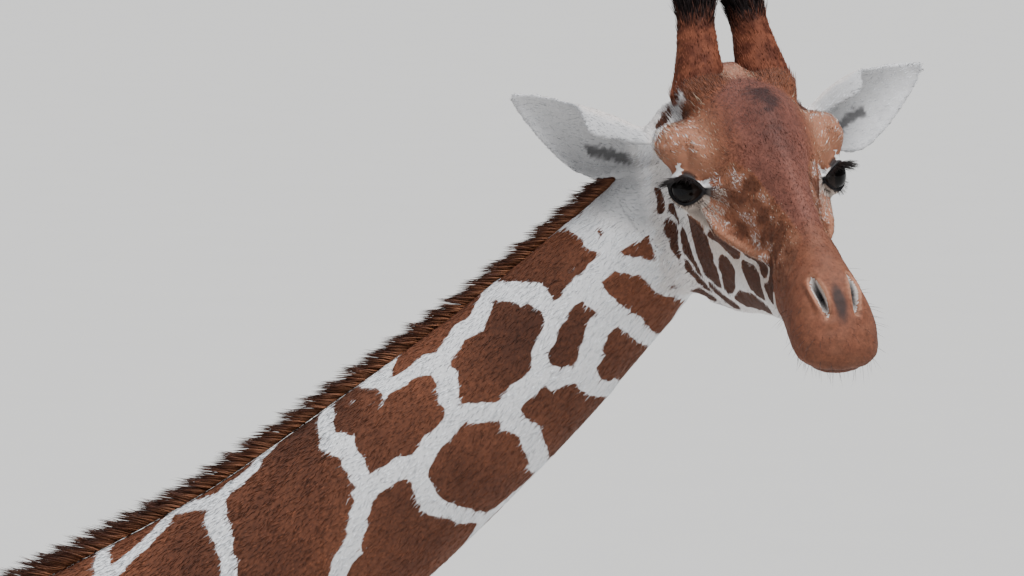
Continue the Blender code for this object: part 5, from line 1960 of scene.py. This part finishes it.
def placed(name, data, place, towards=None):
    item = bpy.data.objects.new(name, data)
    item.location = place
    if towards is not None:
        item.rotation_euler = (towards - place).to_track_quat("-Z", "Y").to_euler()
    bpy.context.scene.collection.objects.link(item)
    return item


class GIRAFFE_OT_stage(bpy.types.Operator):
    """Make the floor, the lights and the camera"""

    bl_idname = "giraffe.stage"
    bl_label = "Stage"

    def execute(self, context):
        settings = context.scene.giraffe_stage
        bm = bmesh.new()
        bmesh.ops.create_grid(bm, x_segments=8, y_segments=8, size=400.0)
        floor_mesh = as_mesh(bm, "floor")
        material, tree, shader = new_finish("floor", 0.85)
        where = object_place(tree)
        pale = tuple(settings.floor_colour)
        shade = blended(tree, noise_value(tree, where, 1.5, 3.0), tuple(0.96 * c for c in pale), pale)
        tree.links.new(shade, shader.inputs["Base Color"])
        floor_mesh.materials.append(material)
        placed("floor", floor_mesh, Vector((0, 0, -0.0005)))
        world = bpy.data.worlds.new("studio")
        world.use_nodes = True
        background = world.node_tree.nodes["Background"]
        background.inputs["Color"].default_value = (0.86, 0.92, 1.0, 1.0)
        background.inputs["Strength"].default_value = settings.world_strength
        context.scene.world = world
        head = row_shift() @ HEAD_ORIGIN
        lights = [  # name, power share, breadth, place
            ("main light", 1.0, 4.0, head + Vector((2.2, -2.6, 5.0))),
            ("side light", 0.1, 5.0, head + Vector((-6.0, -5.0, 2.0))),
            ("back light", 0.4, 5.0, head + Vector((-3.0, 6.0, 4.0))),
        ]
        sun = bpy.data.lights.new("sky light", "SUN")
        sun.energy, sun.angle = settings.sky_power, math.radians(35)
        placed("sky light", sun, head + Vector((1.3, -0.9, 5.0)), head)
        for name, share, breadth, place in lights:
            light = bpy.data.lights.new(name, "AREA")
            light.energy = settings.light_power * share
            light.shape, light.size = "DISK", breadth
            placed(name, light, place, head - Vector((0.5, 0, 0.8)))
        camera = bpy.data.cameras.new("camera")
        camera.lens, camera.sensor_width = CAMERA_LENS, 36.0
        camera.clip_end = 2000.0
        up = CAMERA_BACK.cross(CAMERA_RIGHT).normalized()
        aim = HEAD_ORIGIN + CAMERA_RIGHT * AIM[0] + up * AIM[1]
        stand = Matrix((CAMERA_RIGHT, up, CAMERA_BACK)).transposed().to_4x4()
        stand.translation = aim + CAMERA_BACK * CAMERA_DISTANCE
        item = placed("camera", camera, Vector())
        item.matrix_world = row_shift() @ stand
        context.scene.camera = item
        return {"FINISHED"}


# -------- the add-on
OPERATORS = [
    GIRAFFE_OT_skin,
    GIRAFFE_OT_coat,
    GIRAFFE_OT_eyes,
    GIRAFFE_OT_lashes,
    GIRAFFE_OT_whiskers,
    GIRAFFE_OT_ossicones,
    GIRAFFE_OT_mane,
    GIRAFFE_OT_tassel,
    GIRAFFE_OT_hooves,
    GIRAFFE_OT_stage,
]
SETTINGS = {
    "giraffe_markings": GiraffeMarkings,
    "giraffe_coat": GiraffeCoat,
    "giraffe_eyes": GiraffeEyes,
    "giraffe_hair": GiraffeHair,
    "giraffe_hooves": GiraffeHooves,
    "giraffe_stage": GiraffeStage,
}


class GIRAFFE_PT_panel(bpy.types.Panel):
    """The giraffe's pieces and their sizes and colours"""

    bl_idname = "GIRAFFE_PT_panel"
    bl_label = "Giraffe"
    bl_space_type = "VIEW_3D"
    bl_region_type = "UI"
    bl_category = "Giraffe"

    def draw(self, context):
        for operator in OPERATORS:
            self.layout.operator(operator.bl_idname)
        for name, group in SETTINGS.items():
            box = self.layout.box()
            for key in group.__annotations__:
                box.prop(getattr(context.scene, name), key)


def register():
    for group in (*SETTINGS.values(), *OPERATORS, GIRAFFE_PT_panel):
        bpy.utils.register_class(group)
    for name, group in SETTINGS.items():
        setattr(bpy.types.Scene, name, PointerProperty(type=group))


def unregister():
    for name in SETTINGS:
        delattr(bpy.types.Scene, name)
    for group in (GIRAFFE_PT_panel, *reversed(OPERATORS), *reversed(SETTINGS.values())):
        bpy.utils.unregister_class(group)


def main():
    register()
    for operator in OPERATORS:
        family, name = operator.bl_idname.split(".")
        getattr(getattr(bpy.ops, family), name)()


if __name__ == "__main__":
    main()
